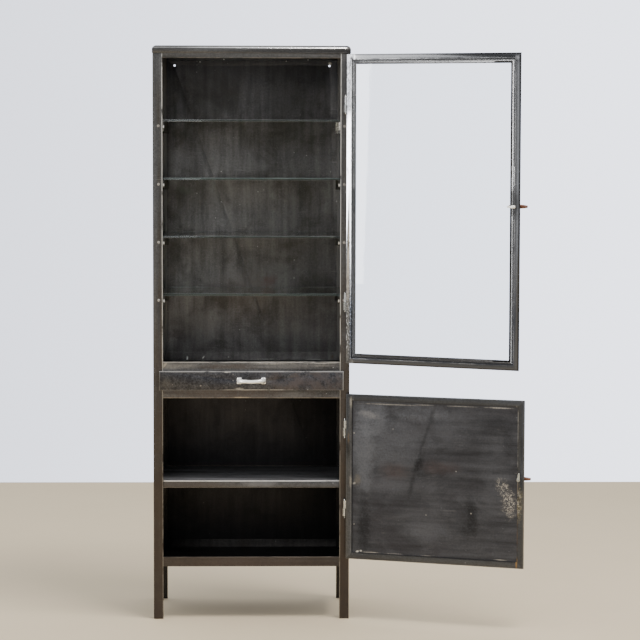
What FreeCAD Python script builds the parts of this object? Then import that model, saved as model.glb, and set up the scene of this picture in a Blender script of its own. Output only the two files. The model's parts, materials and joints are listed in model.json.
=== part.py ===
import FreeCAD, Part
import math
import os

# Medicine cabinet of blackened steel on an angle-iron frame: a glazed bay with four glass
# shelves behind a glass door, a drawer below it, and a lower bay with one steel shelf behind
# a sheet-steel door. Sizes are in millimetres. X runs to the right, Y to the back and Z up.
# The origin is on the floor under the middle of the cabinet. Both doors are hinged on the
# right and stand open; each door is shaped in its closed place and then swung open.

# Whole cabinet
cabinet_width = 566.0
cabinet_depth = 320.0
cabinet_height = 1657.5
leg_height = 154.0

# Clearances that many pieces share
part_gap = 0.3
hole_gap = 0.1
thread_gap = 0.05
cut_overrun = 5.0

# Angle iron of the frame
angle_leg = 28.0
angle_gauge = 3.0
angle_heel_radius = 0.6
top_rail_leg = 24.0

# Heights of the drawer opening
drawer_rail_top = 672.5
drawer_opening_height = 49.5

# Lid, and the board between it and the frame
lid_gauge = 1.2
lid_side_gap = 0.2
lid_skirt = 21.5
lid_bullnose_radius = 12.0

# Back panel with its two wall fixing holes
back_panel_gauge = 1.2
back_panel_inset = 1.0
wall_hole_radius = 3.0
wall_hole_inset = 52.0
wall_hole_drop = 38.5

# Side panels, side glass and the strips that hold the glass
side_panel_gauge = 1.2
side_glass_thickness = 4.0
strip_thickness = 2.8
strip_width = 12.0

# Flat sheets that divide the height
floor_gauge = 1.2

# Steel shelf of the lower bay, and the ledges under it
metal_shelf_rise = 246.6
metal_shelf_gauge = 1.5
metal_shelf_lip = 21.0
metal_shelf_end_gap = 1.5
metal_shelf_side_gap = 1.3
ledge_height = 20.0
ledge_width = 15.0
ledge_gauge = 1.5
ledge_end_gap = 6.0

# Glass shelves
glass_shelf_count = 4
glass_shelf_first_rise = 213.8
glass_shelf_last_drop = 202.4
glass_shelf_thickness = 6.0
glass_shelf_side_gap = 1.2
glass_shelf_front_gap = 5.0
glass_shelf_back_gap = 5.8

# Brackets that carry the glass shelves
bracket_gauge = 1.5
bracket_width = 22.5
bracket_side_gap = 0.7
bracket_tab_depth = 18.0
front_bracket_height = 22.0
rear_bracket_height = 35.0
bracket_screw_inset = 6.0
front_screw_drop = 12.0
rear_screw_drop = 25.0

# Screws and nuts of the brackets
screw_radius = 2.0
sunk_head_radius = 4.0
sunk_head_depth = 2.0
pan_head_radius = 3.8
pan_head_height = 2.2
nut_across_flats = 7.0
nut_thickness = 3.0
screw_tip_length = 1.0

# Drawer front, a shallow tray that is open to the back
drawer_front_side_lap = 10.5
drawer_front_bottom_lap = 3.5
drawer_front_top_lap = 1.5
drawer_front_gap = 0.4
drawer_front_thickness = 12.0
drawer_front_gauge = 1.5
drawer_front_lip = 16.0

# Drawer body and its runners
drawer_body_gauge = 1.2
drawer_back_gap = 20.8
drawer_side_clearance = 1.0
drawer_top_clearance = 6.5
runner_gauge = 1.5
runner_height = 20.0
runner_width = 15.5
runner_edge_gap = 1.5
runner_front_gap = 0.5
runner_back_gap = 5.8

# Pull on the drawer front
pull_foot_spacing = 70.0
pull_foot_width = 14.0
pull_foot_height = 20.0
pull_foot_thickness = 3.0
pull_foot_edge_radius = 1.5
pull_bar_radius = 4.5
pull_standoff = 22.0
pull_sag = 1.5
pull_bend_radius = 11.0
pull_root_radius = 6.5
pull_root_length = 9.0
pull_screw_radius = 2.0
pull_screw_length = 8.0
pull_screw_head_radius = 3.6
pull_screw_head_height = 2.4

# Doors
door_thickness = 8.5
door_face_gap = 0.6
door_band_width = 18.6
door_rebate_width = 8.5
door_rebate_depth = 5.5
door_free_lap = 9.7
upper_door_bottom_lap = 2.5
upper_door_top_gap = 2.5
lower_door_bottom_lap = 3.5
lower_door_top_lap = 13.5
upper_door_angle = 153.5
lower_door_angle = 160.0

# Glass and bead of the upper door, sheet of the lower door
door_glass_thickness = 3.0
door_infill_edge_gap = 0.4
bead_width = 7.5
bead_thickness = 1.6
bead_edge_gap = 0.3
door_panel_gauge = 1.2

# Hinges
hinge_pin_inset = 13.5
hinge_pin_standoff = 5.2
door_edge_to_pin = 5.2
hinge_knuckle_radius = 3.6
hinge_length = 57.0
hinge_finial_length = 5.5
hinge_neck_radius = 2.6
hinge_neck_length = 1.0
hinge_weld_depth = 0.4
hinge_pin_radius = 1.95
hinge_frame_bore_gap = 0.05
hinge_door_bore_gap = 0.1
hinge_pin_end_gap = 1.0
frame_leaf_door_gap = 0.7
frame_leaf_outer_reach = 7.5
door_leaf_edge_inset = 0.6
upper_door_hinge_drop = 143.5
upper_door_hinge_rise = 175.5
lower_door_hinge_drop = 101.0
lower_door_hinge_rise = 145.9

# Latches
latch_spindle_inset = 14.8
latch_spindle_radius = 3.0
latch_hub_radius = 4.3
latch_stem_radius = 4.0
latch_rivet_radius = 2.0
latch_rivet_head_radius = 3.0
latch_rivet_head_height = 1.0
tongue_gap = 0.6
tongue_thickness = 3.0
tongue_root_radius = 4.5
tongue_tip_radius = 2.2
tongue_reach = 18.0
rosette_radius = 8.0
rosette_thickness = 1.5
latch_handle_standoff = 21.5
latch_handle_half_length = 28.0
latch_handle_radius = 5.3
latch_handle_end_radius = 2.6
latch_handle_end_rounding = 1.2
latch_handle_seat_depth = 1.3
latch_tenon_radius = 2.5
latch_tenon_length = 5.0
upper_latch_rise = 458.5
lower_latch_rise = 253.8
upper_tongue_angle = 0.0
lower_tongue_angle = 97.0

# Planes of the frame
half_width = cabinet_width / 2
front_y = -cabinet_depth / 2
back_y = cabinet_depth / 2
frame_back_y = back_y - back_panel_gauge
toe_x = half_width - angle_leg
side_inner_x = half_width - angle_gauge
front_inner_y = front_y + angle_gauge
back_inner_y = frame_back_y - angle_gauge
side_front_y = front_y + angle_leg
side_back_y = frame_back_y - angle_leg

# Heights of the frame
lid_inner_radius = lid_bullnose_radius - lid_gauge
lid_inner_top = cabinet_height - lid_gauge
frame_top = lid_inner_top - lid_inner_radius
lid_bottom = cabinet_height - lid_skirt
bottom_rail_toe = leg_height + angle_leg
drawer_rail_toe = drawer_rail_top - angle_leg
middle_rail_bottom = drawer_rail_top + drawer_opening_height
middle_rail_toe = middle_rail_bottom + angle_leg
bottom_floor_z = leg_height + angle_gauge
bottom_floor_top = bottom_floor_z + floor_gauge
bay_floor_top = drawer_rail_top + floor_gauge
divider_z = middle_rail_bottom + angle_gauge
divider_top = divider_z + floor_gauge
top_rail_underside = frame_top - angle_gauge

# Faces of the side walls
side_panel_inner_x = side_inner_x - side_panel_gauge
side_glass_inner_x = side_inner_x - side_glass_thickness
strip_inner_x = side_glass_inner_x - strip_thickness

# Places of the shelf brackets
bracket_outer_x = strip_inner_x - bracket_side_gap
bracket_inner_x = bracket_outer_x - bracket_width
bracket_screw_x = bracket_outer_x - bracket_screw_inset
first_shelf_z = divider_top + glass_shelf_first_rise
last_shelf_z = top_rail_underside - glass_shelf_last_drop
glass_shelf_pitch = (last_shelf_z - first_shelf_z) / (glass_shelf_count - 1)
glass_shelf_bottoms = [
    first_shelf_z + level * glass_shelf_pitch for level in range(glass_shelf_count)
]

# Planes of the drawer
drawer_front_back_y = front_y - drawer_front_gap
drawer_face_y = drawer_front_back_y - drawer_front_thickness
runner_outer_x = toe_x - runner_edge_gap
drawer_half_width = runner_outer_x - runner_gauge - drawer_side_clearance
drawer_bottom = bay_floor_top + runner_gauge + part_gap
drawer_top = middle_rail_bottom - drawer_top_clearance
drawer_front_bottom = drawer_rail_top - drawer_front_bottom_lap
drawer_front_top = middle_rail_bottom + drawer_front_top_lap
pull_z = (drawer_front_bottom + drawer_front_top) / 2

# Planes of the closed doors
door_inner_y = front_y - door_face_gap
door_outer_y = door_inner_y - door_thickness
rebate_floor_y = door_inner_y - door_rebate_depth
hinge_x = half_width - hinge_pin_inset
hinge_y = front_y - hinge_pin_standoff
door_hinge_edge_x = hinge_x - door_edge_to_pin
door_free_edge_x = -toe_x - door_free_lap
latch_x = door_free_edge_x + latch_spindle_inset
upper_door_bottom = middle_rail_toe - upper_door_bottom_lap
upper_door_top = lid_bottom - upper_door_top_gap
lower_door_bottom = bottom_rail_toe - lower_door_bottom_lap
lower_door_top = drawer_rail_toe + lower_door_top_lap
upper_hinge_heights = [
    upper_door_top - upper_door_hinge_drop,
    upper_door_bottom + upper_door_hinge_rise,
]
lower_hinge_heights = [
    lower_door_top - lower_door_hinge_drop,
    lower_door_bottom + lower_door_hinge_rise,
]
upper_latch_z = upper_door_bottom + upper_latch_rise
lower_latch_z = lower_door_bottom + lower_latch_rise

# Directions
right = FreeCAD.Vector(1, 0, 0)
backward = FreeCAD.Vector(0, 1, 0)
up = FreeCAD.Vector(0, 0, 1)
sides = (-1, 1)


def point(x, y, z):
    """A place in the cabinet's frame."""
    return FreeCAD.Vector(x, y, z)


def block(x_range, y_range, z_range):
    """A box between two limits along each axis, given in either order."""
    low = [min(limits) for limits in (x_range, y_range, z_range)]
    high = [max(limits) for limits in (x_range, y_range, z_range)]
    lengths = [top - bottom for bottom, top in zip(low, high)]
    return Part.makeBox(*lengths, point(*low))


def rod(radius, start, end):
    """A round bar between two points."""
    run = end - start
    return Part.makeCylinder(radius, run.Length, start, run)


def angle_bar(heel, leg_a, leg_b, run, gauge, heel_radius):
    """An L-shaped bar from its heel line: two legs at right angles, with rounded toes."""
    along_a = FreeCAD.Vector(leg_a).normalize()
    along_b = FreeCAD.Vector(leg_b).normalize()
    toe_radius = gauge / 2
    corner_share = 1 - math.sqrt(1 / 2)

    def place(a, b):
        return heel + along_a * a + along_b * b

    edges = [
        Part.LineSegment(place(heel_radius, 0), place(leg_a.Length - toe_radius, 0)),
        Part.Arc(
            place(leg_a.Length - toe_radius, 0),
            place(leg_a.Length, toe_radius),
            place(leg_a.Length - toe_radius, gauge),
        ),
        Part.LineSegment(place(leg_a.Length - toe_radius, gauge), place(gauge, gauge)),
        Part.LineSegment(place(gauge, gauge), place(gauge, leg_b.Length - toe_radius)),
        Part.Arc(
            place(gauge, leg_b.Length - toe_radius),
            place(toe_radius, leg_b.Length),
            place(0, leg_b.Length - toe_radius),
        ),
        Part.LineSegment(place(0, leg_b.Length - toe_radius), place(0, heel_radius)),
        Part.Arc(
            place(0, heel_radius),
            place(heel_radius * corner_share, heel_radius * corner_share),
            place(heel_radius, 0),
        ),
    ]
    section = Part.Face(Part.Wire([edge.toShape() for edge in edges]))
    return section.extrude(run)


def frame_bar(heel, leg_a, leg_b, run):
    """A length of the frame's angle iron."""
    return angle_bar(heel, leg_a, leg_b, run, angle_gauge, angle_heel_radius)


def open_upper(shape):
    """Swing a piece of the closed upper door to where the door stands."""
    return shape.rotated(point(hinge_x, hinge_y, 0), up, upper_door_angle)


def open_lower(shape):
    """Swing a piece of the closed lower door to where the door stands."""
    return shape.rotated(point(hinge_x, hinge_y, 0), up, lower_door_angle)


# Posts

def bracket_screw_heights(drop):
    """Heights of the screws of one column of brackets."""
    return [bottom - drop for bottom in glass_shelf_bottoms]


def front_post(side):
    """A front corner post with countersunk holes for the bracket screws."""
    heel = point(side * half_width, front_y, 0)
    post = frame_bar(heel, right * -side * angle_leg, backward * angle_leg, up * frame_top)
    for z in bracket_screw_heights(front_screw_drop):
        start = point(side * bracket_screw_x, front_y, z)
        end = point(side * bracket_screw_x, front_inner_y + cut_overrun, z)
        post = post.cut(rod(screw_radius + hole_gap, start, end))
        sink = Part.makeCone(
            sunk_head_radius + hole_gap, screw_radius + hole_gap, sunk_head_depth, start, backward
        )
        post = post.cut(sink)
    return post


def rear_post(side):
    """A rear corner post with plain holes for the bracket screws."""
    heel = point(side * half_width, frame_back_y, 0)
    post = frame_bar(heel, right * -side * angle_leg, backward * -angle_leg, up * frame_top)
    for z in bracket_screw_heights(rear_screw_drop):
        start = point(side * bracket_screw_x, back_inner_y - cut_overrun, z)
        end = point(side * bracket_screw_x, frame_back_y + cut_overrun, z)
        post = post.cut(rod(screw_radius + hole_gap, start, end))
    return post


# Rails

def front_rail(heel_z, leg, toe_direction):
    """A rail between the front posts, with its toe pointing up or down."""
    heel = point(-toe_x, front_y, heel_z)
    return frame_bar(heel, up * toe_direction * leg, backward * leg, right * 2 * toe_x)


def rear_rail(heel_z, leg, toe_direction):
    """A rail between the rear posts."""
    heel = point(-toe_x, frame_back_y, heel_z)
    return frame_bar(heel, up * toe_direction * leg, backward * -leg, right * 2 * toe_x)


def side_rail(side, heel_z, leg, toe_direction):
    """A rail between a front post and a rear post."""
    heel = point(side * half_width, side_front_y, heel_z)
    run = backward * (side_back_y - side_front_y)
    return frame_bar(heel, up * toe_direction * leg, right * -side * leg, run)


# Lid

def bullnosed_prism(half, bottom, top, radius, run_half, across):
    """A prism with its two top edges rounded, running along X or Y."""
    corner_share = math.sqrt(1 / 2)

    def place(offset, z):
        if across == "x":
            return point(offset, -run_half, z)
        return point(-run_half, offset, z)

    shoulder = top - radius
    flat = half - radius
    edges = [
        Part.LineSegment(place(-half, bottom), place(-half, shoulder)),
        Part.Arc(
            place(-half, shoulder),
            place(-flat - radius * corner_share, shoulder + radius * corner_share),
            place(-flat, top),
        ),
        Part.LineSegment(place(-flat, top), place(flat, top)),
        Part.Arc(
            place(flat, top),
            place(flat + radius * corner_share, shoulder + radius * corner_share),
            place(half, shoulder),
        ),
        Part.LineSegment(place(half, shoulder), place(half, bottom)),
        Part.LineSegment(place(half, bottom), place(-half, bottom)),
    ]
    section = Part.Face(Part.Wire([edge.toShape() for edge in edges]))
    run = backward if across == "x" else right
    return section.extrude(run * 2 * run_half)


def bullnosed_block(half_x, half_y, bottom, top, radius):
    """A block whose four top edges are rounded."""
    along_y = bullnosed_prism(half_x, bottom, top, radius, half_y, "x")
    along_x = bullnosed_prism(half_y, bottom, top, radius, half_x, "y")
    return along_y.common(along_x)


def lid():
    """A sheet lid with a bullnosed top edge and a skirt outside the frame."""
    inner_x = half_width + lid_side_gap
    inner_y = back_y + lid_side_gap
    outside = bullnosed_block(
        inner_x + lid_gauge, inner_y + lid_gauge, lid_bottom, cabinet_height, lid_bullnose_radius
    )
    inside = bullnosed_block(
        inner_x, inner_y, lid_bottom - cut_overrun, lid_inner_top, lid_inner_radius
    )
    return outside.cut(inside)


def lid_packing():
    """The board that carries the lid, inside the rounding of its edge."""
    half_x = half_width + lid_side_gap - lid_inner_radius - part_gap
    half_y = back_y + lid_side_gap - lid_inner_radius - part_gap
    return block((-half_x, half_x), (-half_y, half_y), (frame_top, lid_inner_top))


# Walls

def back_panel():
    """The back sheet, with two holes for fixing the cabinet to a wall."""
    half_x = half_width - back_panel_inset
    panel = block(
        (-half_x, half_x), (frame_back_y, back_y), (leg_height, frame_top - back_panel_inset)
    )
    for side in sides:
        x = side * (half_width - wall_hole_inset)
        z = frame_top - wall_hole_drop
        start = point(x, frame_back_y - cut_overrun, z)
        panel = panel.cut(rod(wall_hole_radius, start, start + backward * 2 * cut_overrun))
    return panel


wall_y_range = (front_inner_y + part_gap, back_inner_y - part_gap)


def lower_side_panel(side):
    """The sheet that closes a side of the lower bay and of the drawer bay."""
    return block(
        (side * side_panel_inner_x, side * side_inner_x),
        wall_y_range,
        (bottom_floor_z, middle_rail_bottom - part_gap),
    )


def side_glass(side):
    """The pane that closes a side of the upper bay."""
    return block(
        (side * side_glass_inner_x, side * side_inner_x),
        wall_y_range,
        (divider_z, top_rail_underside - part_gap),
    )


def side_glass_strips():
    """Four flat strips that hold the side panes against the posts."""
    strips = []
    for side in sides:
        for y_start in (wall_y_range[0], wall_y_range[1] - strip_width):
            strips.append(block(
                (side * strip_inner_x, side * side_glass_inner_x),
                (y_start, y_start + strip_width),
                (divider_top, top_rail_underside - part_gap),
            ))
    return Part.makeCompound(strips)


def flat_sheet(half_x, bottom):
    """A sheet across the cabinet that lies on the rails."""
    return block((-half_x, half_x), wall_y_range, (bottom, bottom + floor_gauge))


# Steel shelf

def metal_shelf():
    """The shelf of the lower bay, with its front edge folded down."""
    half_x = side_panel_inner_x - metal_shelf_side_gap
    top = bottom_floor_top + metal_shelf_rise
    front = front_inner_y + metal_shelf_end_gap
    back = back_inner_y - metal_shelf_end_gap
    plate = block((-half_x, half_x), (front, back), (top - metal_shelf_gauge, top))
    lip = block((-half_x, half_x), (front, front + metal_shelf_gauge), (top - metal_shelf_lip, top))
    return plate.fuse(lip).removeSplitter()


def shelf_ledges():
    """Two angles on the side panels that carry the steel shelf."""
    top = bottom_floor_top + metal_shelf_rise - metal_shelf_gauge
    front = front_inner_y + ledge_end_gap
    run = backward * (back_inner_y - ledge_end_gap - front)
    ledges = []
    for side in sides:
        heel = point(side * side_panel_inner_x, front, top)
        down = up * -ledge_height
        inward = right * -side * ledge_width
        ledges.append(angle_bar(heel, down, inward, run, ledge_gauge, angle_heel_radius))
    return Part.makeCompound(ledges)


# Glass shelves and their brackets

def glass_shelf(level):
    """One glass shelf, resting on four bracket tabs."""
    half_x = strip_inner_x - glass_shelf_side_gap
    y_range = (front_inner_y + glass_shelf_front_gap, back_inner_y - glass_shelf_back_gap)
    bottom = glass_shelf_bottoms[level]
    return block((-half_x, half_x), y_range, (bottom, bottom + glass_shelf_thickness))


def shelf_bracket(side, top, face_y, inward, height, screw_drop):
    """An L bracket: a plate on a post's leg and a tab under the glass."""
    x_range = (side * bracket_inner_x, side * bracket_outer_x)
    plate = block(x_range, (face_y, face_y + inward * bracket_gauge), (top - height, top))
    tab = block(x_range, (face_y, face_y + inward * bracket_tab_depth), (top - bracket_gauge, top))
    bracket = plate.fuse(tab).removeSplitter()
    middle = point(side * bracket_screw_x, face_y, top - screw_drop)
    span = backward * cut_overrun
    return bracket.cut(rod(screw_radius + hole_gap, middle - span, middle + span))


def shelf_brackets():
    """Sixteen brackets, one for each corner of each glass shelf."""
    brackets = []
    for top in glass_shelf_bottoms:
        for side in sides:
            brackets.append(shelf_bracket(
                side, top, front_inner_y, 1, front_bracket_height, front_screw_drop
            ))
            brackets.append(shelf_bracket(
                side, top, back_inner_y, -1, rear_bracket_height, rear_screw_drop
            ))
    return Part.makeCompound(brackets)


front_nut_y = front_inner_y + bracket_gauge


def front_bracket_screw(side, z):
    """A countersunk screw, flush with the post's face and reaching through its nut."""
    start = point(side * bracket_screw_x, front_y, z)
    end = point(side * bracket_screw_x, front_nut_y + nut_thickness + screw_tip_length, z)
    head = Part.makeCone(sunk_head_radius, screw_radius, sunk_head_depth, start, backward)
    return head.fuse(rod(screw_radius, start, end)).removeSplitter()


def rear_bracket_screw(side, z):
    """A pan-head screw through the rear bracket into the post's leg."""
    seat_y = back_inner_y - bracket_gauge
    seat = point(side * bracket_screw_x, seat_y, z)
    end = point(side * bracket_screw_x, frame_back_y - part_gap, z)
    head = rod(pan_head_radius, seat - backward * pan_head_height, seat)
    crown = [edge for edge in head.Edges if edge.BoundBox.YMax < seat_y and edge.Closed]
    head = head.makeFillet(pan_head_height / 2, crown)
    return head.fuse(rod(screw_radius, seat, end)).removeSplitter()


def bracket_screws():
    """The screws of all sixteen brackets."""
    screws = []
    for side in sides:
        for z in bracket_screw_heights(front_screw_drop):
            screws.append(front_bracket_screw(side, z))
        for z in bracket_screw_heights(rear_screw_drop):
            screws.append(rear_bracket_screw(side, z))
    return Part.makeCompound(screws)


def hex_prism(center, across_flats, thickness):
    """A hexagonal prism that runs to the back from its centre point."""
    corner_radius = across_flats / math.sqrt(3)
    corners = []
    for step in range(7):
        turn = math.radians(60 * step)
        corners.append(center + right * corner_radius * math.cos(turn) + up * corner_radius * math.sin(turn))
    return Part.Face(Part.makePolygon(corners)).extrude(backward * thickness)


def bracket_nuts():
    """The nuts inside the front brackets."""
    nuts = []
    for side in sides:
        for z in bracket_screw_heights(front_screw_drop):
            center = point(side * bracket_screw_x, front_nut_y, z)
            nut = hex_prism(center, nut_across_flats, nut_thickness)
            bore = rod(screw_radius + thread_gap, center, center + backward * nut_thickness)
            nuts.append(nut.cut(bore))
    return Part.makeCompound(nuts)


# Drawer

def drawer_runners():
    """Two angles on the drawer bay's floor that guide the drawer."""
    front = front_inner_y + runner_front_gap
    run = backward * (back_inner_y - runner_back_gap - front)
    runners = []
    for side in sides:
        heel = point(side * runner_outer_x, front, bay_floor_top)
        inward = right * -side * runner_width
        runners.append(angle_bar(heel, up * runner_height, inward, run, runner_gauge, angle_heel_radius))
    return Part.makeCompound(runners)


def pull_screw_places():
    """Where the two screws of the pull pass through the drawer front."""
    return [point(side * pull_foot_spacing / 2, drawer_face_y, pull_z) for side in sides]


def drawer_front():
    """A folded tray: a face, four short walls and four lips behind them."""
    half_x = toe_x + drawer_front_side_lap
    gauge = drawer_front_gauge
    whole = block(
        (-half_x, half_x),
        (drawer_face_y, drawer_front_back_y),
        (drawer_front_bottom, drawer_front_top),
    )
    hollow = block(
        (-half_x + gauge, half_x - gauge),
        (drawer_face_y + gauge, drawer_front_back_y - gauge),
        (drawer_front_bottom + gauge, drawer_front_top - gauge),
    )
    mouth = block(
        (-half_x + drawer_front_lip, half_x - drawer_front_lip),
        (drawer_front_back_y - gauge - gauge, drawer_front_back_y + gauge),
        (drawer_front_bottom + drawer_front_lip, drawer_front_top - drawer_front_lip),
    )
    tray = whole.cut(hollow).cut(mouth)
    for place in pull_screw_places():
        tray = tray.cut(rod(pull_screw_radius + hole_gap, place, place + backward * cut_overrun))
    return tray


def drawer_body():
    """The open-topped box behind the drawer front."""
    y_range = (drawer_front_back_y, back_inner_y - drawer_back_gap)
    gauge = drawer_body_gauge
    box = block((-drawer_half_width, drawer_half_width), y_range, (drawer_bottom, drawer_top))
    inside = block(
        (-drawer_half_width + gauge, drawer_half_width - gauge),
        (y_range[0] + gauge, y_range[1] - gauge),
        (drawer_bottom + gauge, drawer_top + cut_overrun),
    )
    return box.cut(inside)


def pull_foot(place):
    """A square foot of the pull with softened edges, flat on the drawer face."""
    low = place - right * pull_foot_width / 2 - up * pull_foot_height / 2
    foot = Part.makeBox(
        pull_foot_width, pull_foot_thickness, pull_foot_height, low - backward * pull_foot_thickness
    )
    outer_y = place.y - pull_foot_thickness
    rim = [edge for edge in foot.Edges if edge.BoundBox.YMax < outer_y + part_gap]
    return foot.makeFillet(pull_foot_edge_radius, rim)


def drawer_pull():
    """A cast pull: two feet, and a round bar that stands off and sags a little."""
    left, right_foot = pull_screw_places()
    outward = (backward * -pull_standoff - up * pull_sag).normalize()
    reach = math.hypot(pull_standoff, pull_sag)
    left_corner = left + outward * reach
    right_corner = right_foot + outward * reach
    corner_share = 1 - math.sqrt(1 / 2)
    bend_middle = (right - outward) * pull_bend_radius * corner_share
    bend_middle_right = (right * -1 - outward) * pull_bend_radius * corner_share
    path = Part.Wire([
        Part.LineSegment(left, left_corner - outward * pull_bend_radius).toShape(),
        Part.Arc(
            left_corner - outward * pull_bend_radius,
            left_corner + bend_middle,
            left_corner + right * pull_bend_radius,
        ).toShape(),
        Part.LineSegment(
            left_corner + right * pull_bend_radius, right_corner - right * pull_bend_radius
        ).toShape(),
        Part.Arc(
            right_corner - right * pull_bend_radius,
            right_corner + bend_middle_right,
            right_corner - outward * pull_bend_radius,
        ).toShape(),
        Part.LineSegment(right_corner - outward * pull_bend_radius, right_foot).toShape(),
    ])
    start_circle = Part.Wire([Part.makeCircle(pull_bar_radius, left, outward)])
    pull = path.makePipeShell([start_circle], True, False)
    for place in (left, right_foot):
        root = Part.makeCone(pull_root_radius, pull_bar_radius, pull_root_length, place, outward)
        pull = pull.fuse(root).fuse(pull_foot(place))
    behind = block(
        (-pull_foot_spacing, pull_foot_spacing),
        (drawer_face_y, drawer_face_y + cut_overrun),
        (drawer_front_bottom, drawer_front_top),
    )
    pull = pull.cut(behind)
    for place in (left, right_foot):
        depth = pull_screw_length - drawer_front_gauge + part_gap
        pull = pull.cut(rod(pull_screw_radius + thread_gap, place, place - backward * depth))
    return pull.removeSplitter()


def pull_screws():
    """Two pan-head screws that hold the pull from inside the drawer front."""
    screws = []
    for place in pull_screw_places():
        seat = place + backward * drawer_front_gauge
        head = rod(pull_screw_head_radius, seat, seat + backward * pull_screw_head_height)
        shank = rod(pull_screw_radius, seat - backward * pull_screw_length, seat)
        screws.append(head.fuse(shank).removeSplitter())
    return Part.makeCompound(screws)


# Doors

def door_block(inset, y_range, z_range):
    """A block inside a closed door, in from all four of its edges."""
    return block(
        (door_free_edge_x + inset, door_hinge_edge_x - inset),
        y_range,
        (z_range[0] + inset, z_range[1] - inset),
    )


def door_frame(z_range, latch_z):
    """A door's rim, rebated from the inside, with the hole for the latch spindle."""
    rim = door_block(0, (door_outer_y, door_inner_y), z_range)
    rebate = door_block(door_band_width, (rebate_floor_y, door_inner_y + cut_overrun), z_range)
    window_inset = door_band_width + door_rebate_width
    window = door_block(window_inset, (door_outer_y - cut_overrun, door_inner_y), z_range)
    start = point(latch_x, door_outer_y - cut_overrun, latch_z)
    end = point(latch_x, door_inner_y + cut_overrun, latch_z)
    return rim.cut(rebate).cut(window).cut(rod(latch_spindle_radius + hole_gap, start, end))


def door_infill(thickness, z_range):
    """The pane or sheet that lies in a door's rebate."""
    inset = door_band_width + door_infill_edge_gap
    return door_block(inset, (rebate_floor_y, rebate_floor_y + thickness), z_range)


def door_bead(z_range):
    """The frame of flat bead that holds the door's glass."""
    outer_inset = door_band_width + bead_edge_gap
    start_y = rebate_floor_y + door_glass_thickness
    outside = door_block(outer_inset, (start_y, start_y + bead_thickness), z_range)
    hole_range = (start_y - cut_overrun, start_y + cut_overrun)
    return outside.cut(door_block(outer_inset + bead_width, hole_range, z_range))


# Hinges

hinge_half_length = hinge_length / 2
hinge_barrel_half = hinge_half_length - hinge_finial_length
hinge_ball_radius = (hinge_finial_length - hinge_neck_length) / 2 + hinge_weld_depth / 2


def hinge_half(z, direction):
    """One knuckle above or below the joint line, with a necked ball at its outer end."""
    pin_line = point(hinge_x, hinge_y, z)
    outward = up * direction
    joint = pin_line + outward * part_gap / 2
    barrel_end = pin_line + outward * hinge_barrel_half
    neck_end = barrel_end + outward * hinge_neck_length
    ball_center = neck_end + outward * (hinge_ball_radius - hinge_weld_depth)
    knuckle = rod(hinge_knuckle_radius, joint, barrel_end)
    neck = rod(hinge_neck_radius, barrel_end, neck_end)
    ball = Part.makeSphere(hinge_ball_radius, ball_center)
    return knuckle.fuse(neck).fuse(ball)


def hinge_bore(z, direction, radius):
    """The blind hole for the pin in one knuckle."""
    pin_line = point(hinge_x, hinge_y, z)
    return rod(radius, pin_line, pin_line + up * direction * hinge_barrel_half)


def leaf_z_range(z, direction):
    """The height of a leaf beside its knuckle."""
    return (z + direction * part_gap / 2, z + direction * hinge_barrel_half)


def frame_hinge_half(z):
    """The lower knuckle with the leaf on the post's face."""
    leaf = block(
        (hinge_x - door_edge_to_pin + frame_leaf_door_gap, hinge_x + frame_leaf_outer_reach),
        (hinge_y + hinge_knuckle_radius - hinge_weld_depth, front_y),
        leaf_z_range(z, -1),
    )
    bore = hinge_bore(z, -1, hinge_pin_radius + hinge_frame_bore_gap)
    return hinge_half(z, -1).fuse(leaf).removeSplitter().cut(bore)


def door_hinge_half(z):
    """The upper knuckle with the leaf on the door's edge."""
    leaf = block(
        (door_hinge_edge_x, hinge_x - hinge_knuckle_radius + hinge_weld_depth),
        (door_outer_y + door_leaf_edge_inset, door_inner_y - door_leaf_edge_inset),
        leaf_z_range(z, 1),
    )
    bore = hinge_bore(z, 1, hinge_pin_radius + hinge_door_bore_gap)
    return hinge_half(z, 1).fuse(leaf).removeSplitter().cut(bore)


def hinge_pin(z):
    """A pin that stands in the lower knuckle and carries the upper one."""
    reach = up * (hinge_barrel_half - hinge_pin_end_gap)
    middle = point(hinge_x, hinge_y, z)
    return rod(hinge_pin_radius, middle - up * hinge_barrel_half, middle + reach)


# Latches, shaped at a closed door

tongue_y = front_inner_y + tongue_gap
tongue_back_y = tongue_y + tongue_thickness
rosette_y = door_outer_y - rosette_thickness
handle_y = door_outer_y - latch_handle_standoff
handle_seat_y = handle_y + latch_handle_radius - latch_handle_seat_depth


def latch_line(y, z):
    """A point on the spindle's axis."""
    return point(latch_x, y, z)


def latch_spindle(z):
    """Hub, spindle and stem in one turned piece, with a riveted inner end."""
    hub = rod(latch_hub_radius, latch_line(tongue_y, z), latch_line(door_inner_y + part_gap, z))
    shaft = rod(latch_spindle_radius, latch_line(tongue_y, z), latch_line(handle_seat_y, z))
    stem = rod(latch_stem_radius, latch_line(rosette_y - part_gap, z), latch_line(handle_seat_y, z))
    tenon_end = latch_line(handle_seat_y - latch_tenon_length, z)
    tenon = rod(latch_tenon_radius, latch_line(handle_seat_y, z), tenon_end)
    rivet = rod(latch_rivet_radius, latch_line(tongue_y, z), latch_line(tongue_back_y, z))
    rivet_end = latch_line(tongue_back_y + latch_rivet_head_height, z)
    rivet_head = rod(latch_rivet_head_radius, latch_line(tongue_back_y, z), rivet_end)
    return hub.multiFuse([shaft, stem, tenon, rivet, rivet_head]).removeSplitter()


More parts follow.
